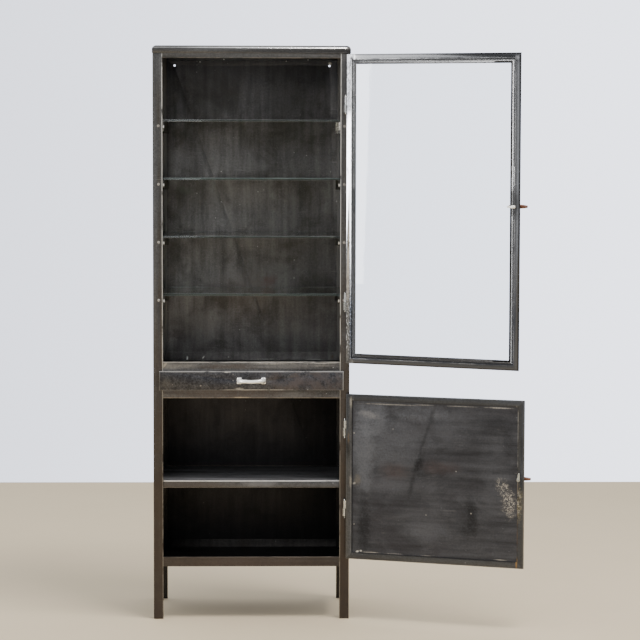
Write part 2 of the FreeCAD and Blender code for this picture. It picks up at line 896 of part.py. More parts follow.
def latch_tongue(z, angle):
    """A flat tongue that tapers from its root on the spindle to a rounded tip."""
    taper = math.asin((tongue_root_radius - tongue_tip_radius) / tongue_reach)
    across = math.cos(taper)
    ahead = math.sin(taper)
    tip_x = latch_x + tongue_reach

    def rim(center_x, radius, direction):
        return point(center_x + radius * ahead, tongue_y, z + direction * radius * across)

    edges = [
        Part.Arc(
            rim(latch_x, tongue_root_radius, 1),
            point(latch_x - tongue_root_radius, tongue_y, z),
            rim(latch_x, tongue_root_radius, -1),
        ),
        Part.LineSegment(rim(latch_x, tongue_root_radius, -1), rim(tip_x, tongue_tip_radius, -1)),
        Part.Arc(
            rim(tip_x, tongue_tip_radius, -1),
            point(tip_x + tongue_tip_radius, tongue_y, z),
            rim(tip_x, tongue_tip_radius, 1),
        ),
        Part.LineSegment(rim(tip_x, tongue_tip_radius, 1), rim(latch_x, tongue_root_radius, 1)),
    ]
    outline = Part.Face(Part.Wire([edge.toShape() for edge in edges]))
    tongue = outline.extrude(backward * tongue_thickness)
    bore = rod(latch_rivet_radius + thread_gap, latch_line(tongue_y, z), latch_line(tongue_back_y, z))
    return tongue.cut(bore).rotated(latch_line(0, z), backward, -angle)


def latch_rosette(z):
    """The round plate under the handle, fixed to the door's outer face."""
    start = latch_line(door_outer_y, z)
    end = latch_line(rosette_y, z)
    return rod(rosette_radius, start, end).cut(rod(latch_spindle_radius + hole_gap, start, end))


def latch_handle(z):
    """A turned handle, thickest in the middle and seated on the stem."""
    half = latch_handle_half_length
    middle = latch_line(handle_y, z)
    left_end = middle - right * half
    right_end = middle + right * half
    profile = Part.Wire([
        Part.LineSegment(left_end, left_end + up * latch_handle_end_radius).toShape(),
        Part.Arc(
            left_end + up * latch_handle_end_radius,
            middle + up * latch_handle_radius,
            right_end + up * latch_handle_end_radius,
        ).toShape(),
        Part.LineSegment(right_end + up * latch_handle_end_radius, right_end).toShape(),
        Part.LineSegment(right_end, left_end).toShape(),
    ])
    olive = Part.Face(profile).revolve(middle, right, 360)
    ends = [edge for edge in olive.Edges if edge.Closed and edge.BoundBox.XLength < part_gap]
    olive = olive.makeFillet(latch_handle_end_rounding, ends)
    seat = rod(
        latch_stem_radius + thread_gap,
        latch_line(handle_seat_y, z),
        latch_line(handle_seat_y + cut_overrun, z),
    )
    socket_end = latch_line(handle_seat_y - latch_tenon_length - part_gap, z)
    socket = rod(latch_tenon_radius + thread_gap, latch_line(handle_seat_y, z), socket_end)
    return olive.cut(seat).cut(socket)


# All the pieces

upper_door_range = (upper_door_bottom, upper_door_top)
lower_door_range = (lower_door_bottom, lower_door_top)


def frame_pieces():
    """Posts and rails."""
    pieces = {
        "front_bottom_rail": front_rail(leg_height, angle_leg, 1),
        "front_drawer_rail": front_rail(drawer_rail_top, angle_leg, -1),
        "front_middle_rail": front_rail(middle_rail_bottom, angle_leg, 1),
        "front_top_rail": front_rail(frame_top, top_rail_leg, -1),
        "rear_bottom_rail": rear_rail(leg_height, angle_leg, 1),
        "rear_drawer_rail": rear_rail(drawer_rail_top, angle_leg, -1),
        "rear_middle_rail": rear_rail(middle_rail_bottom, angle_leg, 1),
        "rear_top_rail": rear_rail(frame_top, top_rail_leg, -1),
    }
    for name, side in (("left", -1), ("right", 1)):
        pieces["front_" + name + "_post"] = front_post(side)
        pieces["rear_" + name + "_post"] = rear_post(side)
        pieces[name + "_bottom_rail"] = side_rail(side, leg_height, angle_leg, 1)
        pieces[name + "_middle_rail"] = side_rail(side, middle_rail_bottom, angle_leg, 1)
        pieces[name + "_top_rail"] = side_rail(side, frame_top, top_rail_leg, -1)
    return pieces


def wall_pieces():
    """Lid, panels, side glass and flat sheets."""
    pieces = {
        "lid": lid(),
        "lid_packing": lid_packing(),
        "back_panel": back_panel(),
        "side_glass_strips": side_glass_strips(),
        "divider_sheet": flat_sheet(side_glass_inner_x - part_gap, divider_z),
        "drawer_bay_floor": flat_sheet(side_panel_inner_x - part_gap, drawer_rail_top),
        "bottom_floor": flat_sheet(side_panel_inner_x - part_gap, bottom_floor_z),
    }
    for name, side in (("left", -1), ("right", 1)):
        pieces[name + "_side_panel"] = lower_side_panel(side)
        pieces[name + "_side_glass"] = side_glass(side)
    return pieces


def shelf_pieces():
    """Shelves with what carries them."""
    pieces = {
        "metal_shelf": metal_shelf(),
        "shelf_ledges": shelf_ledges(),
        "shelf_brackets": shelf_brackets(),
        "bracket_screws": bracket_screws(),
        "bracket_nuts": bracket_nuts(),
    }
    for level in range(glass_shelf_count):
        pieces["glass_shelf_" + str(level + 1)] = glass_shelf(level)
    return pieces


def drawer_pieces():
    """The drawer, its pull and the runners."""
    return {
        "drawer_runners": drawer_runners(),
        "drawer_front": drawer_front(),
        "drawer_body": drawer_body(),
        "drawer_pull": drawer_pull(),
        "pull_screws": pull_screws(),
    }


def hinge_pieces():
    """The parts of the four hinges."""
    heights = upper_hinge_heights + lower_hinge_heights
    upper_knuckles = Part.makeCompound([door_hinge_half(z) for z in upper_hinge_heights])
    lower_knuckles = Part.makeCompound([door_hinge_half(z) for z in lower_hinge_heights])
    return {
        "frame_hinge_knuckles": Part.makeCompound([frame_hinge_half(z) for z in heights]),
        "hinge_pins": Part.makeCompound([hinge_pin(z) for z in heights]),
        "upper_hinge_knuckles": open_upper(upper_knuckles),
        "lower_hinge_knuckles": open_lower(lower_knuckles),
    }


def upper_door_pieces():
    """The glazed door and its latch, standing open."""
    pieces = {
        "upper_door_frame": door_frame(upper_door_range, upper_latch_z),
        "upper_door_glass": door_infill(door_glass_thickness, upper_door_range),
        "upper_door_bead": door_bead(upper_door_range),
        "upper_latch_rosette": latch_rosette(upper_latch_z),
        "upper_latch_spindle": latch_spindle(upper_latch_z),
        "upper_latch_tongue": latch_tongue(upper_latch_z, upper_tongue_angle),
        "upper_latch_handle": latch_handle(upper_latch_z),
    }
    return {name: open_upper(shape) for name, shape in pieces.items()}


def lower_door_pieces():
    """The sheet-steel door and its latch, standing open."""
    pieces = {
        "lower_door_frame": door_frame(lower_door_range, lower_latch_z),
        "lower_door_panel": door_infill(door_panel_gauge, lower_door_range),
        "lower_latch_rosette": latch_rosette(lower_latch_z),
        "lower_latch_spindle": latch_spindle(lower_latch_z),
        "lower_latch_tongue": latch_tongue(lower_latch_z, lower_tongue_angle),
        "lower_latch_handle": latch_handle(lower_latch_z),
    }
    return {name: open_lower(shape) for name, shape in pieces.items()}


def main():
    """Build every piece and write one file for each."""
    groups = [
        frame_pieces(),
        wall_pieces(),
        shelf_pieces(),
        drawer_pieces(),
        hinge_pieces(),
        upper_door_pieces(),
        lower_door_pieces(),
    ]
    os.makedirs("parts", exist_ok=True)
    for pieces in groups:
        for name, shape in pieces.items():
            shape.exportStep("parts/" + name + ".step")


main()
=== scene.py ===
import json
import math
import random

import bmesh
import bpy
from mathutils import Matrix, Vector

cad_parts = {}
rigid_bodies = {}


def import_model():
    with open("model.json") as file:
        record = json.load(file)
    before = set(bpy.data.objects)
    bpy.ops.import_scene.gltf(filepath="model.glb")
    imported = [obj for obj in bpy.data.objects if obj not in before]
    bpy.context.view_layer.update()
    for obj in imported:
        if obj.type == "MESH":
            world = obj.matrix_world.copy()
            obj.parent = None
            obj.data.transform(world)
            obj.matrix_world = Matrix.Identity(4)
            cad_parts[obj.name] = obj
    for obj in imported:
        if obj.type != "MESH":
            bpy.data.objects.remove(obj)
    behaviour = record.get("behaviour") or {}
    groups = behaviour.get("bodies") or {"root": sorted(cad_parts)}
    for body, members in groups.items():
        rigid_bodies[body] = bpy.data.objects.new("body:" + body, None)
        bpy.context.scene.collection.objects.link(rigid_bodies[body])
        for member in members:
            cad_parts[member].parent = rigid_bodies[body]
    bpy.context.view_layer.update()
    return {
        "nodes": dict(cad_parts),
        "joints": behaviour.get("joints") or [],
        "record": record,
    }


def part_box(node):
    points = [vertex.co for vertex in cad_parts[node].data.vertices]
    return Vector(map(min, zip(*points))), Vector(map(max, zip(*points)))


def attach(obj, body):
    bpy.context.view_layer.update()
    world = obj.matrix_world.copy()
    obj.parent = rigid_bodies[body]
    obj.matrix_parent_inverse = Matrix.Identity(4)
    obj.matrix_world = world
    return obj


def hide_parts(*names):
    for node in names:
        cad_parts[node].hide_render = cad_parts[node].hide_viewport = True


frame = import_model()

# A medicine cabinet of blackened steel with both doors open. Lengths are in metres. X runs to
# the right, Y to the back and Z up, and the origin is on the floor under the cabinet.

nodes = frame["nodes"]
joints = {joint["name"]: joint for joint in frame["joints"]}
bodies = frame["record"]["behaviour"]["bodies"]
body_of = {node: body for body, names in bodies.items() for node in names}

# The photograph's camera
camera_place = (0.0388, -7.3745, 1.4396)
camera_turn = 0.022
camera_dip = 0.0786
camera_roll = 0.0023
sensor_width = 36
focal_length = 141.28

# Edges and small sizes
edge_width = 0.0005
sheet_edge_width = 0.0003
glass_edge_width = 0.0006
screw_edge_width = 0.0001
same_place = 0.000001

# Marks with a half size above this get thin spots
small_mark = 0.008

# Half the width of the change from a sheet's inner half to its outer one
face_blend = 0.0003

# Edges that the wear and the painted highlights follow
post_toe = 0.2552
post_corner = 0.283
post_front = -0.158
panel_front = 0.1594
drawer_top = 0.7235
drawer_foot = 0.669
drawer_side = 0.2655
shelf_top = 0.404
lid_highlight_height = 1.6522

# Door rims: band, slope towards the infill, and rebate
rim_band = 0.0186
rim_slope_width = 0.0042
rim_slope_depth = 0.0005
rim_rebate = 0.0085
rim_rebate_depth = 0.0055
rim_edge_radius = 0.0012
rim_sharp_angle = 25
bead_width = 0.01
bead_slope = 0.0009
bead_edge_radius = 0.0004

# Lower door's sheet: columns and rows of its grid, and the height of its waves
sheet_grid = (48, 46)
sheet_wave_height = 0.00035

# Hinge knuckles
knuckle_radius = 0.0036
barrel_half = 0.023
knuckle_gap = 0.00015
ball_radius = 0.00245
ball_center = 0.02605
neck_radius = 0.0022
leaf_thickness = 0.002
leaf_start = 0.265
door_leaf_far = 0.0077
door_leaf_near = 0.0005

# Latches
latch_seam = 0.0003
hub_radius = 0.0043
peg_radius = 0.0021
spindle_radius = 0.003
tongue_reach = 0.018
tongue_root_radius = 0.0045
tongue_tip_radius = 0.0022
tongue_chamfer = 0.0006
rosette_radius = 0.008
rosette_hole_radius = 0.0031
stem_radius = 0.004
handle_half_length = 0.028
handle_radius = 0.0058
handle_end_radius = 0.0036

# Floor
floor_reach = 5
floor_front = 8
floor_back = 2.62

# Pull
pull_reach = 0.022
pull_sag = 0.0008
pull_bend_steps = 14
pull_bar_radius = 0.0051
pull_root_radius = 0.0074
pull_bend_width = 0.018
pull_bend_depth = 0.017
pull_foot_half_width = 0.007
pull_foot_half_height = 0.0092
foot_squareness = 0.35

# The door hinges, read from the frame
pin_low, pin_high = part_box("hinge_pins")
hinge_line = Vector(((pin_low.x + pin_high.x) / 2, (pin_low.y + pin_high.y) / 2, 0))
door_angles = {
    "upper": math.radians(-joints["upper_door_hinge"]["range_deg"][0]),
    "lower": math.radians(-joints["lower_door_hinge"]["range_deg"][0]),
}


def swing(door):
    """The matrix that takes a closed door to where it stands open."""
    to_pin = Matrix.Translation(hinge_line)
    return to_pin @ Matrix.Rotation(door_angles[door], 4, "Z") @ to_pin.inverted()


def box_round(places):
    """The low and the high corner of the box round some places."""
    return [
        Vector([choose(place[axis] for place in places) for axis in range(3)])
        for choose in (min, max)
    ]


def closed_box(node, door):
    """A node's box with its door closed."""
    back = swing(door).inverted()
    return box_round([back @ vertex.co for vertex in nodes[node].data.vertices])


# Node helpers

# Numbers of the mix node's sockets
mix_first_vector, mix_second_vector, mix_vector_output = 4, 5, 1
mix_first_color, mix_second_color, mix_color_output = 6, 7, 2


class Value:
    """A socket of a node tree. Arithmetic and comparison with it add the nodes that they need."""

    def __init__(self, socket):
        self.socket = socket

    def output(self, name):
        """Another output of the same node."""
        return Value(self.socket.node.outputs[name])

    def axis(self, index):
        """One coordinate of a place, or one channel of a colour."""
        return add_node("ShaderNodeSeparateXYZ", index, {0: self})

    x = property(lambda self: self.axis(0))
    y = property(lambda self: self.axis(1))
    z = property(lambda self: self.axis(2))

    def __add__(self, other):
        return calculate("ADD", self, other)

    def __sub__(self, other):
        return calculate("SUBTRACT", self, other)

    def __rsub__(self, other):
        return calculate("SUBTRACT", other, self)

    def __mul__(self, other):
        return calculate("MULTIPLY", self, other)

    def __lt__(self, other):
        return calculate("LESS_THAN", self, other)

    def __abs__(self):
        return calculate("ABSOLUTE", self)


def fill(node, sockets):
    """Link or set the inputs of a node."""
    for key, value in sockets.items():
        if isinstance(value, Value):
            node.id_data.links.new(value.socket, node.inputs[key])
        else:
            node.inputs[key].default_value = value


def add_node(kind, output, sockets, tree=None, **settings):
    """Add a shader node, set its options, fill its sockets, and give one of its outputs."""
    linked = [value.socket for value in sockets.values() if isinstance(value, Value)]
    made = (tree or linked[0].id_data).nodes.new(kind)
    for name, setting in settings.items():
        setattr(made, name, setting)
    fill(made, sockets)
    return Value(made.outputs[output])


def calculate(operation, first, second=0):
    """One arithmetic step on two values."""
    return add_node("ShaderNodeMath", 0, {0: first, 1: second}, operation=operation)


def mix(factor, first, second):
    """Mix two colours, which are plain colours or values of nodes."""
    first, second = [part if isinstance(part, Value) else (*part, 1) for part in (first, second)]
    sockets = {0: factor, mix_first_color: first, mix_second_color: second}
    return add_node("ShaderNodeMix", mix_color_output, sockets, data_type="RGBA")


def place_on(tree, door=None):
    """Coordinates in metres; on a door they are measured from the pin of the closed door."""
    coordinates = add_node("ShaderNodeTexCoord", "Object", {}, tree)
    if door is None:
        return coordinates
    return add_node("ShaderNodeMapping", "Vector", {
        "Vector": coordinates, "Location": hinge_line, "Rotation": (0, 0, door_angles[door]),
    }, vector_type="TEXTURE")


def new_material(name, door=None, **sockets):
    """A material with one principled shader, and the coordinates on it."""
    material = bpy.data.materials.new(name)
    material.use_nodes = True
    tree = material.node_tree
    shader = tree.nodes["Principled BSDF"]
    fill(shader, {key.replace("_", " "): value for key, value in sockets.items()})
    return material, place_on(tree, door)


def finish_material(material, color, roughness, height, depth, strength=1):
    """Give a material its colour and roughness, and relief that is up to depth metres deep."""
    bump = add_node("ShaderNodeBump", "Normal", {
        "Height": height, "Distance": depth, "Strength": strength,
    })
    shader = material.node_tree.nodes["Principled BSDF"]
    fill(shader, {"Base Color": color, "Roughness": roughness, "Normal": bump})
    return material


def stretched(place, scale):
    """Coordinates scaled along each axis, for grain and streaks."""
    return add_node("ShaderNodeMapping", "Vector", {"Vector": place, "Scale": scale})


def noise(place, scale, detail=5, roughness=0.6, distortion=0):
    """Fractal noise from 0 to 1, stretched where the scale has three parts."""
    if isinstance(scale, tuple):
        place, scale = stretched(place, scale), 1
    return add_node("ShaderNodeTexNoise", "Fac", {
        "Vector": place, "Scale": scale, "Detail": detail, "Roughness": roughness,
        "Distortion": distortion,
    })


def span(value, low, high, to_low=0, to_high=1):
    """Stretch a value from one range to another, clamped."""
    return add_node("ShaderNodeMapRange", "Result", {
        "Value": value, "From Min": low, "From Max": high, "To Min": to_low, "To Max": to_high,
    })


def fraying(place, scale):
    """Noise around zero that frays the borders of marks."""
    return noise(place, scale, 6, 0.7) - 0.5


def patch(place, fray, x, z, wide, tall, tilt=0, raggedness=1.6):
    """A ragged mark round a point of an upright face: 1 inside it and 0 outside."""
    moved = add_node("ShaderNodeMapping", "Vector", {
        "Vector": place, "Location": (x, 0, z), "Scale": (wide, 100, tall),
        "Rotation": (0, math.radians(tilt), 0),
    }, vector_type="TEXTURE")
    distance = add_node("ShaderNodeVectorMath", "Value", {0: moved}, operation="LENGTH")
    return span(distance + fray * raggedness, 0.35, 1.1, 1, 0)


def add_marks(place, color, marks, scale=70):
    """Paint marks on a colour. Each is x, z, half width, half height, tint, strength and tilt."""
    fray = fraying(place, scale)
    thin_spots = span(noise(place, 170, 4, 0.7), 0.34, 0.56, 0.45, 1)
    for x, z, wide, tall, tint, strength, *tilt in marks:
        mask = patch(place, fray, x, z, wide, tall, *tilt)
        if max(wide, tall) > small_mark:
            mask *= thin_spots
        color = mix(mask * strength, color, tint)
    return color


def flaking(place):
    """Noise with hard borders, for crusts and flaked finish."""
    return span(noise(place, 120, 7, 0.82, 1.8), 0.49, 0.57)


def near_line(value, edge, reach):
    """1 within a reach of an edge and 0 further from it."""
    return span(abs(value - edge), 0.75 * reach, reach, 1, 0)


def door_insets(place, door):
    """How far inside its door's outline a point lies, and 1 where a level side is nearest."""
    low, high = closed_box(door + "_door_frame", door)
    insets = []
    for axis in (0, 2):
        middle = (low[axis] + high[axis]) / 2 - hinge_line[axis]
        insets.append((high[axis] - low[axis]) / 2 - abs(place.axis(axis) - middle))
    return calculate("MINIMUM", *insets), insets[1] < insets[0]


def inner_face(place, door, node):
    """1 on the half of a node's thickness that faces the bays when its door is shut."""
    low, high = closed_box(node, door)
    middle = (low.y + high.y) / 2 - hinge_line.y
    return span(place.y, middle - face_blend, middle + face_blend)


def specks(place, scale, radius, share):
    """Small scattered specks in a share of the cells."""
    cells = add_node("ShaderNodeTexVoronoi", "Distance", {"Vector": place, "Scale": scale})
    chosen = span(cells.output("Color").x, 1 - share, 1 - share + 0.01)
    return span(cells, radius, 1.6 * radius, 1, 0) * chosen


def scratches(place, tilt, scale, share):
    """Thin straight scratches, all tilted one way on an upright face."""
    turned = add_node("ShaderNodeMapping", "Vector", {
        "Vector": place, "Rotation": (0, math.radians(tilt), 0), "Scale": scale,
    })
    ridge = abs(noise(turned, 1, 2, 0.5, 0.3) - 0.5)
    present = span(noise(place, 14, 3), 1 - share, 1.08 - share)
    return span(ridge, 0, 0.012, 1, 0) * present


# Steel

vertical = (70, 70, 1.6)
crosswise = (1.6, 70, 70)
lengthwise = (70, 1.6, 70)


def rim_grain(place, door):
    """Grain that runs along each side of a door's rim, and meets in mitres."""
    upright = stretched(place, vertical)
    sideways = stretched(place, (1.6, 70, 120))
    level = door_insets(place, door)[1]
    sockets = {0: level, mix_first_vector: upright, mix_second_vector: sideways}
    return add_node("ShaderNodeMix", mix_vector_output, sockets, data_type="VECTOR")


def steel(name, dark, light, stain, streaks, gloss=(0.34, 0.6), door=None, flecks=0.35,
          metallic=0.75, relief=0.0004, blotch=9, mottle=0.5, extra=None):
    """Blackened steel: blotches, streaks along the grain, mottling, stains, flecks, scratches."""
    material, place = new_material(name, door, Metallic=metallic)
    grain = stretched(place, streaks) if streaks else rim_grain(place, door)
    blotches = noise(place, blotch, 6, 0.62, 0.4)
    lines = noise(grain, 1, 6, 0.62)
    color = mix(span(lines, 0.3, 0.72), dark, light)
    color = mix(span(blotches, 0.48, 0.72, 0, 0.75), color, stain)
    grit = span(noise(place, 190, 4, 0.72), 0.36, 0.6, mottle, 0)
    color = mix(grit, color, [0.45 * part for part in dark])
    speckle = noise(place, 420, 3, 0.7)
    bright = [min(1, 2.4 * part) for part in light]
    brighter = [min(1, 4.5 * part) for part in light]
    color = mix(span(speckle, 0.6, 0.74) * flecks, color, bright)
    color = mix(scratches(place, 12, (3, 60, 420), 0.42) * flecks, color, bright)
    color = mix(specks(place, 55, 0.07, 0.1) * flecks, color, brighter)
    roughness = span(noise(grain, 3, 5, 0.7) + blotches, 0.7, 1.3, *gloss)
    height = lines * 0.4 + speckle
    if extra:
        color, roughness = extra(place, color, roughness)
    return finish_material(material, color, roughness, height, relief)


# Wear, marks, painted shade and painted highlights of single parts, as the photograph shows them

def post_wear(place, color, roughness):
    """Posts turn browner downwards, and the toes of their flanges carry a pale line that is partly
    rubbed and partly a painted highlight, weaker in the lower bay.
    """
    height = place.z
    brown = span(height, 1.35, 0.5) * span(noise(place, 7), 0.3, 0.55)
    color = mix(brown * 0.7, color, (0.066, 0.05, 0.04))
    color = mix(span(height, 0.9, 0.3, 0, 0.45), color, (0.05, 0.038, 0.03))
    leg = span(height, 0.26, 0.08) * span(noise(place, 60), 0.36, 0.6, 0.25, 0.8)
    color = mix(leg, color, (0.054, 0.046, 0.044))
    aside = abs(place.x)
    rubbed = span(noise(place, (9, 9, 22)), 0.34, 0.46)
    worn = span(height, 0.62, 0.78, 0.3, 1)
    # The toe line is partly rubbed steel and partly a painted highlight on the rounded toe.
    toe = near_line(aside, post_toe, 0.0024) * rubbed
    color = mix(toe * worn, color, (0.62, 0.6, 0.55))
    corner = span(place.y, post_front + 0.0005, post_front - 0.0005)
    heel = near_line(aside, post_corner, 0.0012) * rubbed * corner
    color = mix(heel * 0.15, color, (0.3, 0.29, 0.27))
    return color, roughness


def rear_wear(place, color, roughness):
    """The rear posts are as pale as the panel where the upper bay shows them."""
    paler = span(place.z, 0.66, 0.74, 0, 0.7)
    return mix(paler, color, (0.2, 0.19, 0.18)), roughness


def rail_wear(place, color, roughness):
    """The toes of the front rails carry pale lines, partly rubbed and partly painted highlights,
    most of all over the upper bay's opening.
    """
    height = place.z
    rubbed = span(noise(place, (22, 9, 9)), 0.36, 0.5)
    for edge, strength, tint in (
        (1.6218, 0.75, (0.34, 0.3, 0.25)), (0.7496, 0.95, (0.5, 0.47, 0.42)),
        (0.7226, 0.6, (0.4, 0.38, 0.35)), (0.6449, 0.6, (0.42, 0.36, 0.28)),
        (0.1816, 0.85, (0.36, 0.32, 0.26)), (1.635, 0.35, (0.3, 0.28, 0.25)),
    ):
        # Each toe line is partly rubbed steel and partly a painted highlight.
        line = near_line(height, edge, 0.002) * rubbed
        color = mix(line * strength, color, tint)
    pale, brown = (0.29, 0.285, 0.27), (0.105, 0.082, 0.068)
    color = mix(span(height, 1.4, 1.6, 0, 0.4), color, (0.06, 0.058, 0.055))
    color = mix(span(height, 0.3, 0.2, 0, 0.75), color, (0.05, 0.037, 0.028))
    color = add_marks(place, color, (
        (-0.236, 0.736, 0.03, 0.014, pale, 0.6), (-0.19, 0.739, 0.04, 0.008, pale, 0.5),
        (0.06, 0.7445, 0.07, 0.0022, (0.6, 0.57, 0.52), 0.7),
        (0.2, 0.745, 0.05, 0.002, (0.6, 0.57, 0.52), 0.7),
        (0.2, 0.7385, 0.05, 0.0018, (0.5, 0.47, 0.43), 0.5),
        (-0.13, 0.733, 0.05, 0.004, (0.05, 0.047, 0.045), 0.5),
        (0.03, 0.731, 0.08, 0.003, (0.05, 0.045, 0.042), 0.5),
        (-0.249, 0.741, 0.004, 0.012, (0.5, 0.46, 0.38), 0.7, 35),
        (-0.06, 0.736, 0.09, 0.008, brown, 0.5), (0.1, 0.738, 0.1, 0.01, pale, 0.3),
        (-0.05, 0.658, 0.26, 0.02, brown, 0.6), (0.12, 0.655, 0.05, 0.01, pale, 0.3),
        (-0.03, 0.647, 0.03, 0.002, (0.5, 0.42, 0.3), 0.8), (0, 0.168, 0.26, 0.02, brown, 0.5),
    ))
    return color, roughness


def panel_marks(place, color, roughness):
    """The back panel: painted shade darkens its top and foot; it has rivets, a smudge and pale
    scratches.
    """
    height = place.z
    front = span(place.y, panel_front + 0.0002, panel_front - 0.0002)
    plain = color
    # Painted shade: darker towards the top under the lid, a cooler darker tone at the very top,
    # and nearly black in the lower bay.
    shade = span(height, 1.3, 1.62, 0, 0.56)
    color = mix(shade, color, (0.014, 0.015, 0.02))
    color = mix(span(height, 1.52, 1.62, 0, 0.5), color, (0.034, 0.038, 0.052))
    color = mix(span(height, 0.74, 0.66, 0, 0.85), color, (0.012, 0.011, 0.012))
    fray = fraying(place, 60)
    for x, z, radius in (
        (-0.1, 0.865, 0.02), (0.131, 0.824, 0.016), (0.05, 0.81, 0.013), (-0.09, 1.14, 0.012),
    ):
        wide = patch(place, fray, x, z, radius * 1.2, radius, 0, 0.5)
        inner = patch(place, fray, x, z, radius * 0.9, radius * 0.72, 0, 0.5)
        ring = (wide - inner) * 0.35
        color = mix(ring, color, (0.26, 0.26, 0.25))
    bright = (0.75, 0.74, 0.7)
    green, pale = (0.054, 0.05, 0.046), (0.2, 0.19, 0.182)
    color = add_marks(place, color, (
        (-0.1, 1.52, 0.1, 0.1, green, 0.5), (0.12, 1.45, 0.07, 0.12, green, 0.4),
        (-0.16, 0.83, 0.09, 0.06, pale, 0.35), (0.12, 0.8, 0.12, 0.05, pale, 0.3),
        (0.02, 0.97, 0.12, 0.06, pale, 0.25), (-0.1, 1.22, 0.13, 0.06, pale, 0.25),
        (0.18, 1, 0.05, 0.14, green, 0.5), (-0.21, 1.15, 0.03, 0.2, green, 0.4),
        (0.05, 0.965, 0.03, 0.02, (0.11, 0.05, 0.04), 0.45, -20),
        (-0.2, 1.235, 0.03, 0.014, (0.1, 0.12, 0.1), 0.4, 20),
        (0.06, 0.945, 0.02, 0.008, pale, 0.5, -20), (-0.14, 0.96, 0.012, 0.03, pale, 0.25),
        (0.055, 1.14, 0.006, 0.016, pale, 0.35), (0.085, 1.02, 0.012, 0.05, pale, 0.2, 20),
        (-0.03, 0.93, 0.1, 0.09, (0.1, 0.075, 0.06), 0.35),
        (-0.12, 1.33, 0.008, 0.006, pale, 0.5), (-0.1551, 1.618, 0.0022, 0.0022, bright, 0.55),
        (-0.084, 1.6256, 0.0026, 0.002, bright, 0.55),
        (0.102, 1.6205, 0.002, 0.0024, bright, 0.55), (0.167, 1.6245, 0.002, 0.002, bright, 0.5),
        (0.2327, 1.6134, 0.006, 0.0055, bright, 0.5, 20),
        (-0.2577, 1.6046, 0.0028, 0.0024, bright, 0.25),
        # A painted glint on a small raised burr.
        (-0.1948, 0.7305, 0.0032, 0.0075, (1, 1, 0.95), 1, 4),
        (-0.146, 0.7335, 0.002, 0.006, bright, 0.9, 40),
        (-0.0704, 0.7345, 0.0024, 0.0018, bright, 0.35), (0.04, 0.728, 0.05, 0.0016, bright, 0.3),
        (0.19, 0.727, 0.03, 0.0016, bright, 0.35),
        (0.242, 0.735, 0.006, 0.008, (0.1, 0.08, 0.05), 0.6),
    ), 90)
    return mix(front, plain, color), roughness


def drawer_marks(place, color, roughness):
    """The drawer front: rubbed edges, dark oily patches, and specks on its left half."""
    height = place.z
    across = place.x
    oily, pale = (0.02, 0.021, 0.027), (0.24, 0.235, 0.225)
    color = add_marks(place, color, (
        (-0.19, 0.7, 0.09, 0.02, oily, 0.5), (-0.1, 0.698, 0.05, 0.02, oily, 0.45),
        (0.082, 0.702, 0.024, 0.017, oily, 0.85, 12), (0.185, 0.711, 0.012, 0.01, oily, 0.8),
        (0, 0.711, 0.04, 0.009, oily, 0.6), (0.243, 0.698, 0.008, 0.016, oily, 0.5),
        (-0.245, 0.685, 0.02, 0.016, pale, 0.2),
        (-0.035, 0.673, 0.014, 0.004, (0.46, 0.455, 0.45), 0.7),
        (-0.07, 0.7215, 0.012, 0.0026, (0.75, 0.73, 0.68), 0.9),
        (0.15, 0.69, 0.06, 0.014, (0.09, 0.075, 0.072), 0.5),
    ), 110)
    brown = span(noise(place, 24, 5, 0.7), 0.42, 0.56, 0, 0.6) * span(across, -0.02, 0.1)
    color = mix(brown, color, (0.122, 0.104, 0.1))
    dots = specks(place, 62, 0.1, 0.35) * span(across, -0.02, -0.08, 0, 0.8)
    color = mix(dots, color, (0.3, 0.29, 0.28))
    rubbed = span(noise(place, (26, 9, 9)), 0.34, 0.5)
    middle = patch(place, fraying(place, 40), 0.02, 0.669, 0.11, 0.03)
    for value, edge, reach, strength, part in (
        (height, drawer_top, 0.0024, 1, 1), (height, drawer_foot, 0.0026, 0.9, middle),
        (height, drawer_foot, 0.0018, 0.25, 1), (across, drawer_side, 0.0024, 0.85, 1),
        (across, -drawer_side, 0.0022, 0.35, 1),
    ):
        line = near_line(value, edge, reach) * rubbed * part
        color = mix(line * strength, color, (0.48, 0.475, 0.47))
    return color, roughness


